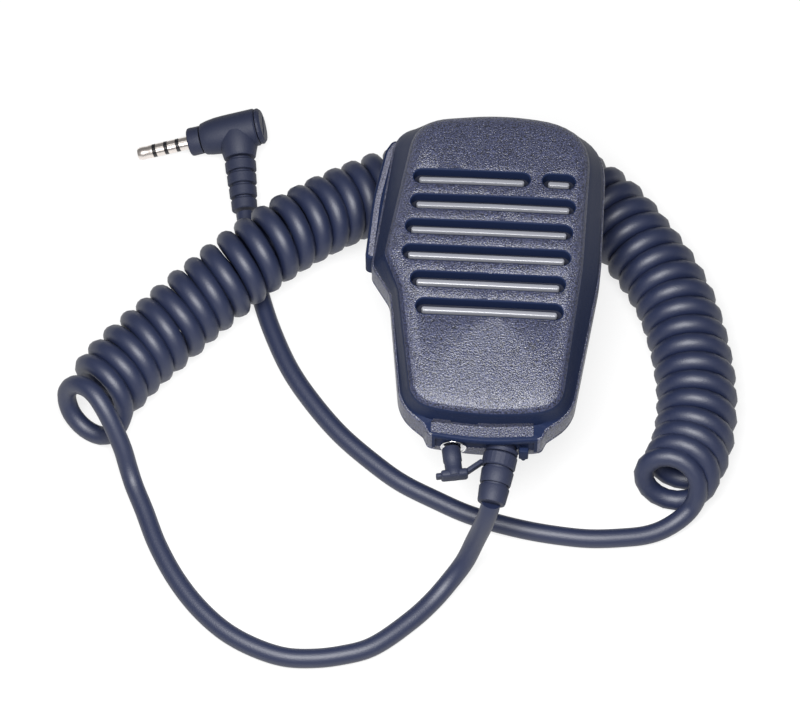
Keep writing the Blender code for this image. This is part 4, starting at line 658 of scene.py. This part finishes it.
def cut_away(obj, cutters, materials):
    """Take the cutters, each with the slot of its material, out of the object for good."""
    guides = []
    for number, (bm, slot) in enumerate(cutters):
        for face in bm.faces:
            face.material_index = slot
        guide = add_mesh(f"guide_{number}", bm, materials)
        modifier = obj.modifiers.new(guide.name, "BOOLEAN")
        modifier.operation = "DIFFERENCE"
        modifier.solver = "EXACT"
        modifier.object = guide
        guides.append(guide)
    graph = bpy.context.evaluated_depsgraph_get()
    mesh = bpy.data.meshes.new_from_object(obj.evaluated_get(graph))
    obj.modifiers.clear()
    obj.data = mesh
    for guide in guides:
        bpy.data.objects.remove(guide)
    smooth_by_angle(obj)


# ---------------------------------------------------------------- shells

def left_side():
    """Low end of the left side, and the directions along it and out of it."""
    corners = body_corners()
    cheek, top = Vector(corners[CHEEK_CORNER][:2]), Vector(corners[SIDE_CORNER][:2])
    along = (top - cheek).normalized()
    return cheek, along, Vector((-along.y, along.x))


def side_slab(s_low, s_high, out_low, out_high, low, high):
    """Slab laid along the left side, from the cheek's corner and out from the side."""
    cheek, along, outward = left_side()
    outline = [cheek + along * s + outward * out for s, out in (
        (s_low, out_low), (s_high, out_low), (s_high, out_high), (s_low, out_high))]
    return loft([level(outline, low), level(outline, high)])


def shared_cutters():
    """Window of the talk bar, the bay between the feet, and what its wall holds."""
    window = side_slab(BAR_START - GAP, BAR_START + BAR_LENGTH + GAP, -WALL - 2.6 * MM, 3 * CUT,
                       SEAM_Z + BAR_BOTTOM - GAP, SEAM_Z + BAR_BOTTOM + BAR_HEIGHT + GAP)
    bay = block((2 * BAY_HALF_WIDTH, 6 * MM, BAY_RISE + BAY_DROP),
                (LOW_SHIFT, BAY_Y - 3 * MM, SEAM_Z + (BAY_RISE - BAY_DROP) / 2))
    width, depth, height = (side + 2 * GAP for side in JACK_BODY)
    inside = BAY_Y + WALL
    pocket = block((width, depth, height), (JACK_X, inside + depth / 2, SEAM_Z))
    cutters = [window, bay, pocket]
    for x, radius, start, end in (
            (JACK_X, JACK_RADIUS + GAP, BAY_Y - CUT, inside + CUT),
            (RELIEF_X, RELIEF_NECK_RADIUS + GAP, BAY_Y - CUT, inside + CUT),
            (RELIEF_X, RELIEF_FLANGE_RADIUS + GAP, inside, inside + RELIEF_FLANGE + 2 * GAP)):
        cutters.append(rods([(Vector((x, start, SEAM_Z)), Vector((x, end, SEAM_Z)))], radius))
    return [(bm, 0) for bm in cutters]


def spline_rings(knots, steps):
    """Rings on smooth curves through the given rings, point by point."""
    def beyond(edge, inner):
        return [a * 2 - b for a, b in zip(edge, inner)]

    ends = [beyond(knots[0], knots[1]), *knots, beyond(knots[-1], knots[-2])]
    rings = []
    for four in zip(ends, ends[1:], ends[2:], ends[3:]):
        for step in range(steps):
            rings.append([between(*points, step / steps) for points in zip(*four)])
    rings.append(knots[-1])
    return rings


def stadium(left, right, y, radius, steps=SLOT_STEPS):
    """Outline of a slot with round ends, counter-clockwise."""
    points = []
    for x, start in ((right - radius, -90), (left + radius, 90)):
        for step in range(steps + 1):
            angle = math.radians(start + 180 * step / steps)
            points.append(Vector((x + radius * math.cos(angle), y + radius * math.sin(angle))))
    middle = (right - radius + left + radius) / 2
    return points[:steps + 1] + [Vector((middle, y + radius))] + points[steps + 1:] + [
        Vector((middle, y - radius))]


def slot_rows():
    rows = [(ends, SLOT_TOP_Y - SLOT_PITCH * row) for row, ends in enumerate(SLOT_ENDS)]
    rows.append((MIC_SLOT_ENDS, SLOT_TOP_Y))
    return [(left * MM, right * MM, y) for (left, right), y in rows]


def on_surface(surface, outline, drop):
    """Outline laid on the surface from above and lowered."""
    ring = []
    for point in outline:
        hit = surface.ray_cast(Vector((point.x, point.y, 1)), -UP)[0]
        ring.append(Vector((point.x, point.y, hit.z - drop)))
    return ring


def slot_cutter(surface):
    """All the slots, with edges that round over into the panel."""
    bm = bmesh.new()
    for left, right, y in slot_rows():
        rings = [level(stadium(left, right, y, SLOT_RADIUS), FRONT_Z - FRONT_WALL - 2 * CUT)]
        for degrees in (0, 25, 50, 75):
            angle = math.radians(degrees)
            spread = SLOT_RIM * (1 - math.cos(angle))
            rings.append(on_surface(
                surface, stadium(left - spread, right + spread, y, SLOT_RADIUS + spread),
                SLOT_RIM * (1 - math.sin(angle))))
        brim = stadium(left - SLOT_RIM, right + SLOT_RIM, y, SLOT_RADIUS + SLOT_RIM)
        rings.append(on_surface(surface, brim, -0.1 * SLOT_RIM))
        rings.append(level(brim, FRONT_Z + CUT))
        loft(rings, bm)
    return bm


def strip_cutter():
    """Recess of the grained strip on the ledge, bowed like the edges beside it."""
    left, right = STRIP_X - STRIP_HALF_WIDTH, STRIP_X + STRIP_HALF_WIDTH
    low, high = BOTTOM_Y + 2.3 * MM, BOTTOM_Y + 5.4 * MM
    outline = rounded([(left, low, 0.6 * MM), (STRIP_X, low - STRIP_BOW, SWEEP),
                       (right, low, 0.6 * MM), (right, high, 0.6 * MM),
                       (STRIP_X, high - STRIP_BOW, SWEEP), (left, high, 0.6 * MM)], 6)
    ledge = RIM_Z + SHOULDER_FOOT
    return loft([level(outline, ledge - STRIP_DEPTH), level(outline, ledge + 0.6 * MM)])


def paint_lip_shade(shell):
    """Painted shade: the darkened smooth plastic on the wall over the bay, which lies in shade;
    the rest of the wall keeps its grain.
    """
    for face in shell.data.polygons:
        middle = face.center
        if middle.y < BAY_Y and abs(middle.x - LOW_SHIFT) < BAY_HALF_WIDTH:
            face.material_index = 0


def build_front_shell(materials):
    """Front: wall, rim, shoulder darkened as painted shade, and the grained panel with its slots.
    """
    body, shoulder, panel = body_corners(), shoulder_corners(), panel_corners()
    wall = [level(rounded(inset(body, EDGE_ROUND)), SEAM_Z),
            level(rounded(body), SEAM_Z + EDGE_ROUND),
            level(rounded(body), RIM_Z - RIM_ROUND),
            level(rounded(inset(body, 0.15 * RIM_ROUND)), RIM_Z - RIM_ROUND / 2),
            level(rounded(inset(body, 0.5 * RIM_ROUND)), RIM_Z - 0.13 * RIM_ROUND),
            level(rounded(inset(body, RIM_ROUND)), RIM_Z)]
    edge_z = FRONT_Z - PANEL_HEIGHT
    inner = rounded(inset(panel, 5.0 * MM))
    slope = spline_rings([
        crowned(rounded(shoulder), RIM_Z + SHOULDER_FOOT),
        crowned(mix(rounded(shoulder), rounded(panel), 0.5),
                (RIM_Z + SHOULDER_FOOT + edge_z) / 2),
        crowned(rounded(panel), edge_z),
        crowned(rounded(inset(panel, 0.9 * MM)), edge_z + 1.3 * MM),
        crowned(rounded(inset(panel, 2.6 * MM)), edge_z + 2.1 * MM),
        crowned(inner, FRONT_Z)], SLOPE_STEPS)
    top = [crowned(mix(inner, spine(inner), step / 5), FRONT_Z) for step in range(1, 6)]
    shade_end = len(wall) + SHADE_BANDS
    bm = loft([*wall, *slope, *top], smooth_bands=range(len(wall) - 1, shade_end))
    # Painted shade: the rim and shoulder bands take the darkened smooth plastic, the bands above
    # them the darkened grain.
    bm.faces.index_update()
    for face in bm.faces:
        if shade_end <= face.index // len(inner) < shade_end + EDGE_BANDS:
            face.material_index = 2
    plastics = [materials["smooth"], materials["grain"], materials["edge"]]
    shell = add_mesh("front", bm, plastics)
    whole = bmesh.new()
    whole.from_mesh(shell.data)
    surface = BVHTree.FromBMesh(whole)
    whole.free()

    inside = rounded(inset(body_corners(BAY_Y, 0.2 * MM), WALL))
    centre = rounded(inset(panel, WALL + 4.0 * MM))
    ceiling = FRONT_Z - FRONT_WALL
    cavity = loft([level(inside, SEAM_Z - CUT),
                   level(inside, RIM_Z - WALL * 0.6),
                   level(rounded(inset(shoulder, WALL)), RIM_Z - WALL * 0.2),
                   crowned(rounded(inset(panel, WALL * 0.8)), ceiling - 1.6 * MM),
                   crowned(rounded(inset(panel, WALL * 1.3)), ceiling),
                   crowned(centre, ceiling),
                   crowned(mix(centre, spine(centre), 0.5), ceiling),
                   crowned(spine(centre), ceiling)])
    cuts = [(cavity, 0), (strip_cutter(), 1), (slot_cutter(surface), 0), *shared_cutters()]
    cut_away(shell, cuts, plastics)
    paint_lip_shade(shell)
    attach(shell, "root")
    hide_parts("front_shell")
    return surface


def build_ribs(surface, materials):
    """Smooth bar along each slot, a little under the panel."""
    bm = bmesh.new()
    for left, right, y in slot_rows():
        left, right, y = left + RIB_BORDER, right - RIB_BORDER, y + RIB_SHIFT
        rings = [level(stadium(left, right, y, RIB_RADIUS), FRONT_Z - FRONT_WALL - 0.2 * MM)]
        for shrink, drop in ((0, 0.3), (0.1, 0.1), (0.3, 0.0)):
            rings.append(on_surface(
                surface, stadium(left + shrink * MM, right - shrink * MM, y,
                                 RIB_RADIUS - shrink * MM), RIB_DROP + drop * MM))
        loft(rings, bm)
    ribs = add_mesh("grille_bars", bm, [materials["rib"]])
    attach(ribs, "root")


def back_rings(outline, flat, low, high, steps):
    """Rings of the back from its flat up to the outline, leaning out all the way."""
    rings = []
    for step in range(steps + 1):
        share = step / steps
        rings.append(level(mix(flat, outline, share), high - (high - low) * (1 - share ** 2)))
    return rings


def build_back_shell(materials):
    """Back: rounded out to the seam, hollow, with the holes of its screws and the swivel."""
    body, back = rounded(body_corners()), rounded(back_corners())
    seam = SEAM_Z - GAP
    rings = [level(rounded(inset(back_corners(), 0.8 * MM)), BACK_Z)]
    rings += back_rings(body, back, BACK_Z + 0.05 * MM, seam - EDGE_ROUND, 12)
    rings.append(level(rounded(inset(body_corners(), EDGE_ROUND)), seam))
    shell = add_mesh("back", loft(rings), [materials["grain"]])
    inner = rounded(inset(body_corners(BAY_Y, 0.2 * MM), WALL))
    inner_back = rounded(inset(back_corners(), WALL / 2))
    cavity = back_rings(inner, inner_back, BACK_Z + WALL, seam, 6)
    cavity.append(level(inner, SEAM_Z + CUT))
    places = [Vector((x, y, 0)) * MM for x, y in SCREW_PLACES]
    holes = rods([(place + UP * (BACK_Z - CUT), place + UP * (BACK_Z + WALL + CUT))
                  for place in places], SCREW_RADIUS + GAP)
    recesses = rods([(place + UP * (BACK_Z - CUT), place + UP * (BACK_Z + SCREW_RECESS + GAP))
                     for place in places], SCREW_HEAD_RADIUS + GAP)
    swivel = rods([(UP * (BACK_Z - CUT), UP * (BACK_Z + WALL + CUT))], SWIVEL_RADIUS + GAP)
    cut_away(shell, [(loft(cavity), 0), (holes, 0), (recesses, 0), (swivel, 0),
                     *shared_cutters()], [materials["grain"]])
    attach(shell, "root")
    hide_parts("back_shell")


# ---------------------------------------------------------------- small pieces

def turned(profile, start, axis, ring=False):
    """Bmesh of (radius, height along the axis) turned round the axis, solid or as a ring."""
    turn = UP.rotation_difference(axis)
    rows = []
    bm = bmesh.new()
    for radius, height in profile:
        row = []
        for step in range(TURNED_STEPS):
            angle = 2 * math.pi * step / TURNED_STEPS
            point = Vector((radius * math.cos(angle), radius * math.sin(angle), height))
            row.append(bm.verts.new(start + turn @ point))
        rows.append(row)
    for low, high in zip(rows, rows[1:] + rows[:1] if ring else rows[1:]):
        for i in range(TURNED_STEPS):
            j = (i + 1) % TURNED_STEPS
            bm.faces.new((low[i], low[j], high[j], high[i]))
    if not ring:
        bm.faces.new(rows[0])
        bm.faces.new(rows[-1])
    return bm


def soft_block(size, centre, along=None, edge=0.3 * MM):
    """Block with rounded edges, with its length laid along a direction."""
    bm = block(size, (0, 0, 0))
    bmesh.ops.bevel(bm, geom=bm.edges[:], offset=edge, segments=3, affect="EDGES", profile=0.5)
    place = Matrix.Translation(centre)
    if along:
        place @= Matrix.Rotation(math.atan2(along.y, along.x), 4, "Z")
    bmesh.ops.transform(bm, matrix=place, verts=bm.verts)
    return bm


def merged(pieces):
    """One bmesh of several."""
    whole = bmesh.new()
    for bm in pieces:
        guide = bpy.data.meshes.new("guide")
        bm.to_mesh(guide)
        bm.free()
        whole.from_mesh(guide)
        bpy.data.meshes.remove(guide)
    return whole


def place_piece(name, bm, materials, body, slot, *nodes):
    """Object that rides on a body and stands for the CAD nodes."""
    obj = add_mesh(name, bm, materials)
    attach(obj, body)
    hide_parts(*nodes)
    return obj


def build_talk_bar(materials):
    """Bar with rounded outer edges, a grained strip round its top lightened as painted light, and
    its flange.
    """
    cheek, along, outward = left_side()
    end = BAR_START + BAR_LENGTH
    inner = -WALL - 2 * GAP
    low = SEAM_Z + BAR_BOTTOM
    high = low + BAR_HEIGHT
    places = [(BAR_START, inner - BAR_FLANGE / 2, 0.2), (end, inner - BAR_FLANGE / 2, 0.2),
              (end, BAR_PROUD * 0.3, 2.0), (end - 3.4 * MM, BAR_PROUD, 6.0),
              ((BAR_START + end) / 2, BAR_PROUD + BAR_BOW, 60.0),
              (BAR_START + 0.8 * MM, BAR_PROUD, 1.4)]
    outline = [(*(cheek + along * s + outward * out), radius * MM) for s, out, radius in places]

    def ring(distance, z):
        return level(rounded(inset(outline, distance, BAR_LEAST_ROUND)), z)

    rings = [ring(BAR_EDGE, low), level(rounded(outline), low + BAR_EDGE)]
    for degrees in (0, 30, 60, 90):
        angle = math.radians(degrees)
        rings.append(ring(BAR_EDGE * (1 - math.cos(angle)),
                          high - BAR_EDGE * (1 - math.sin(angle))))
    rings += [ring(BAR_EDGE + BAR_STRIP, high),
              ring(BAR_EDGE + BAR_STRIP + BAR_SUNK, high - BAR_SUNK)]
    # Only the flat band inside the upper edge is grained, in the plastic lightened as painted
    # light, and the sunk top is smooth again
    bar = loft(rings, smooth_bands=(0, 1, 2, 3, 4, 6))
    for face in bar.faces:
        if all(vert.co.z == face.verts[0].co.z for vert in face.verts) and (
                face.calc_center_median().z < high - BAR_SUNK / 2):
            face.material_index = 0
    flange_start, flange_end = BAR_FLANGE_ENDS
    flange = side_slab(BAR_START + flange_start, end - flange_end, inner - BAR_FLANGE, inner,
                       low + BAR_LIP, high + BAR_LIP)
    place_piece("bar", merged([bar, flange]), [materials["smooth"], materials["strip"]],
                "talk_bar", "shell_plastic", "talk_bar")


def build_relief(materials):
    """Strain relief: flange and neck in the wall, and a sleeve with two grooves outside it."""
    axis = (RELIEF_END - RELIEF_START).normalized()
    length = (RELIEF_END - RELIEF_START).length
    tether_start, tether_end = TETHER_PLACE
    second = length * RELIEF_GROOVE_PLACE
    second_end = second + RELIEF_GROOVE_WIDTH
    neck, full, groove = RELIEF_NECK_RADIUS, RELIEF_SLEEVE_RADIUS, RELIEF_GROOVE_RADIUS
    sleeve = turned([
        (neck * 0.3, 0.2 * MM), (full, 0.5 * MM), (full, tether_start - 0.3 * MM),
        (neck, tether_start - 0.2 * MM), (neck, tether_end + 0.5 * MM),
        (full - 0.15 * MM, tether_end + 0.6 * MM), (full, tether_end + 0.9 * MM),
        (3.8 * MM, second - 0.3 * MM), (3.65 * MM, second), (groove, second),
        (groove, second_end), (3.6 * MM, second_end),
        (3.75 * MM, second_end + 0.3 * MM), (3.45 * MM, length - 0.5 * MM),
        (3.3 * MM, length - 0.1 * MM), (3.0 * MM, length)], RELIEF_START, axis)
    inside = BAY_Y + WALL + GAP
    x, z = RELIEF_START.x, RELIEF_START.z
    held = rods([(Vector((x, BAY_Y - RELIEF_HELD, z)), Vector((x, inside, z)))], neck)
    flange = rods([(Vector((x, inside, z)), Vector((x, inside + RELIEF_FLANGE, z)))],
                  RELIEF_FLANGE_RADIUS)
    place_piece("relief", merged([sleeve, held, flange]), [materials["sleeve"]],
                "root", "satin_rubber", "strain_relief")


def build_dust_plug(materials):
    """Stem, crossbar, tab and strap of the plug that closes the jack."""
    axis = (STEM_END - STEM_TOP).normalized()
    length = (STEM_END - STEM_TOP).length
    total = length + SAUCER_DEPTH
    stem = turned([
        (STEM_RADIUS - 0.6 * MM, 0), (STEM_RADIUS - 0.2 * MM, 0.15 * MM), (STEM_RADIUS, 0.5 * MM),
        (STEM_RADIUS, length * 0.55), (STEM_RADIUS - 0.2 * MM, length * 0.6),
        (STEM_RADIUS - 0.2 * MM, length - 0.4 * MM), (STEM_RADIUS, length + 0.2 * MM),
        (STEM_RADIUS * 0.9, total - 0.2 * MM)], STEM_TOP, axis)
    side = Vector((-axis.y, axis.x, 0))
    middle = STEM_END + axis * SAUCER_DEPTH * 0.45
    saucer = (2 * SAUCER_RADIUS, SAUCER_DEPTH + 0.3 * MM, SAUCER_HEIGHT)
    pieces = [stem, soft_block(saucer, middle, side, SAUCER_EDGE)]
    for start, end in ((middle + side * STRAP_START, STRAP_ROOT),
                       (middle - side * STRAP_START, middle - side * TAB_END)):
        run = end - start
        size = (run.length, STRAP_WIDTH, STRAP_HEIGHT)
        pieces.append(soft_block(size, (start + end) / 2, run))
    place_piece("jack_cover", merged(pieces), [materials["sleeve"]], "dust_plug", "satin_rubber",
                "dust_plug")


def build_jack_ring(materials):
    """Thin bright ring round the jack's opening, and its barrel through the wall."""
    out = Vector((0, -1, 0))
    depth = WALL + GAP
    edge = [(JACK_RIM_RADIUS + JACK_RIM_ROUND * math.cos(math.radians(angle)),
             depth + JACK_RIM_ROUND + JACK_RIM_ROUND * math.sin(math.radians(angle)))
            for angle in range(-90, 181, 30)]
    profile = [(JACK_BORE_RADIUS, 0), (JACK_RADIUS, 0), (JACK_RADIUS, depth), *edge,
               (JACK_BORE_RADIUS, depth + 0.3 * MM)]
    start = Vector((JACK_X, BAY_Y + depth, SEAM_Z))
    place_piece("jack_rim", turned(profile, start, out, ring=True), [materials["chrome"]],
                "root", "nickel", "jack_ring")


def build_latch(materials):
    """Tongue of the shell latch that shows in the bay, with its peg."""
    centre = Vector((LATCH_X, BAY_Y - GAP - LATCH_SIZE[1] / 2, SEAM_Z))
    foot = centre - UP * LATCH_SIZE[2] / 2
    peg = rods([(foot - UP * LATCH_PEG, foot + UP * MM)], LATCH_PEG_RADIUS)
    place_piece("latch", merged([soft_block(LATCH_SIZE, centre), peg]), [materials["smooth"]],
                "root", "shell_plastic", "latch_tongue")


def build_plug(materials):
    """Tip, collar and elbow of the plug, and the ribbed strain relief on its neck."""
    radius = CONTACT_RADIUS
    tip = [(0.55 * radius, 0), (0.85 * radius, 0.2 * MM), (0.97 * radius, 0.8 * MM),
           (radius, 1.6 * MM), (0.93 * radius, 2.8 * MM), (radius, 3.5 * MM),
           (radius, TIP_LENGTH), (TIP_CORE_RADIUS, TIP_LENGTH),
           (TIP_CORE_RADIUS, PIN_LENGTH + TIP_CORE_END)]
    pieces = [place_piece("pin_tip", turned(tip, PLUG_TIP, PLUG_AXIS), [materials["nickel"]],
                          "root", "nickel", "plug_tip")]

    bore = radius + GAP
    collar = [(bore, COLLAR_LENGTH), (3.7 * MM, COLLAR_LENGTH), (COLLAR_RADIUS, 0.6 * MM),
              (3.6 * MM, 0.2 * MM), (3.3 * MM, 0), (bore, 0)]
    ring = turned(collar, PLUG_TIP + PLUG_AXIS * PIN_LENGTH, PLUG_AXIS, True)
    pieces.append(place_piece("pin_collar", ring, [materials["sleeve"]], "root", "satin_rubber",
                              "plug_collar"))

    wide = BARREL_RADIUS
    start = PIN_LENGTH + COLLAR_LENGTH + GAP
    barrel = [(3.3 * MM, 0), (3.9 * MM, 0.1 * MM), (4.2 * MM, 0.5 * MM), (4.55 * MM, 2.0 * MM),
              (wide - 0.1 * MM, 4.2 * MM), (wide, 6.5 * MM), (wide, BARREL_LENGTH - 0.4 * MM),
              (wide - 0.3 * MM, BARREL_LENGTH)]
    elbow = PLUG_TIP + PLUG_AXIS * NECK_PLACE
    neck = [(wide, MM), (wide + 0.2 * MM, wide * 0.75), (4.5 * MM, NECK_LENGTH - 1.5 * MM),
            (4.2 * MM, NECK_LENGTH - 0.2 * MM), (4.0 * MM, NECK_LENGTH)]
    body = merged([turned(barrel, PLUG_TIP + PLUG_AXIS * start, PLUG_AXIS),
                   turned(neck, elbow, NECK_AXIS)])
    pieces.append(place_piece("elbow", body, [materials["sleeve"]], "root", "satin_rubber",
                              "plug_body"))

    first, last = TAIL_RELIEF_RADII
    depth, width = TAIL_RELIEF_GROOVE
    pitch = TAIL_RELIEF_LENGTH / TAIL_RELIEF_RIBS
    profile = []
    for number in range(TAIL_RELIEF_RIBS):
        full = first + (last - first) * number / (TAIL_RELIEF_RIBS - 1)
        low = pitch * number
        profile += [(full - depth, low), (full - depth, low + width),
                    (full - 0.2 * MM, low + 0.75 * MM), (full, low + 1.0 * MM),
                    (full - 0.05 * MM, low + pitch - 0.25 * MM),
                    (full - 0.25 * MM, low + pitch - 0.01 * MM)]
    relief = turned(profile, elbow + NECK_AXIS * (NECK_LENGTH + GAP), NECK_AXIS)
    pieces.append(place_piece("neck_relief", relief, [materials["sleeve"]], "root",
                              "satin_rubber", "plug_relief"))
    return pieces


# ---------------------------------------------------------------- camera, light and floor

def place_camera():
    back = Vector((math.sin(AZIMUTH) * math.cos(ELEVATION),
                   -math.cos(AZIMUTH) * math.cos(ELEVATION), math.sin(ELEVATION)))
    right = Vector((math.cos(AZIMUTH), math.sin(AZIMUTH), 0))
    up = back.cross(right)
    camera = bpy.data.objects.new("camera", bpy.data.cameras.new("camera"))
    camera.data.lens = LENS
    camera.data.sensor_width = SENSOR
    camera.data.clip_end = 10
    place = Matrix((right, up, back)).transposed().to_4x4()
    place.translation = TARGET + back * DISTANCE
    camera.matrix_world = place
    bpy.context.scene.collection.objects.link(camera)
    bpy.context.scene.camera = camera


def area_light(name, place, aim, size, power):
    light = bpy.data.lights.new(name, "AREA")
    light.shape = "RECTANGLE"
    light.size, light.size_y = size
    light.energy = power
    obj = bpy.data.objects.new(name, light)
    obj.location = place
    obj.rotation_mode = "QUATERNION"
    obj.rotation_quaternion = (Vector(place) - Vector(aim)).to_track_quat("Z", "Y")
    bpy.context.scene.collection.objects.link(obj)


def light_scene():
    """One wide soft box overhead, in a dim pale room."""
    area_light("softbox", BOX_PLACE, BOX_AIM, BOX_SIZE, BOX_POWER)
    world = bpy.data.worlds.new("studio")
    bpy.context.scene.world = world
    world.use_nodes = True
    world.node_tree.nodes["Background"].inputs["Color"].default_value = (1, 1, 1, 1)
    world.node_tree.nodes["Background"].inputs["Strength"].default_value = ROOM_STRENGTH


def build_floor():
    """White floor that keeps the object's shadow."""
    bm = bmesh.new()
    bmesh.ops.create_grid(bm, x_segments=1, y_segments=1, size=FLOOR_REACH)
    material = principled("floor", (0.86, 0.86, 0.86), 0.8)
    nodes, links = material.node_tree.nodes, material.node_tree.links
    rays = nodes.new("ShaderNodeLightPath")
    seen = nodes.new("ShaderNodeMath")
    seen.operation = "MAXIMUM"
    links.new(rays.outputs["Is Camera Ray"], seen.inputs[0])
    links.new(rays.outputs["Is Glossy Ray"], seen.inputs[1])
    share = nodes.new("ShaderNodeMath")
    share.operation = "MULTIPLY"
    share.inputs[1].default_value = FLOOR_GLOW
    links.new(seen.outputs["Value"], share.inputs[0])
    white = nodes.new("ShaderNodeEmission")
    mixed = nodes.new("ShaderNodeMixShader")
    links.new(share.outputs["Value"], mixed.inputs["Fac"])
    links.new(nodes["Principled BSDF"].outputs["BSDF"], mixed.inputs[1])
    links.new(white.outputs["Emission"], mixed.inputs[2])
    links.new(mixed.outputs["Shader"], nodes["Material Output"].inputs["Surface"])
    floor = add_mesh("floor", bm, [material])


def main():
    materials = make_materials()
    finish_nodes(materials)
    surface = build_front_shell(materials)
    build_ribs(surface, materials)
    build_back_shell(materials)
    build_talk_bar(materials)
    build_relief(materials)
    build_dust_plug(materials)
    build_jack_ring(materials)
    build_latch(materials)
    build_cord(materials, build_plug(materials))
    build_floor()
    place_camera()
    light_scene()
    bpy.context.scene.view_settings.view_transform = "Standard"


main()
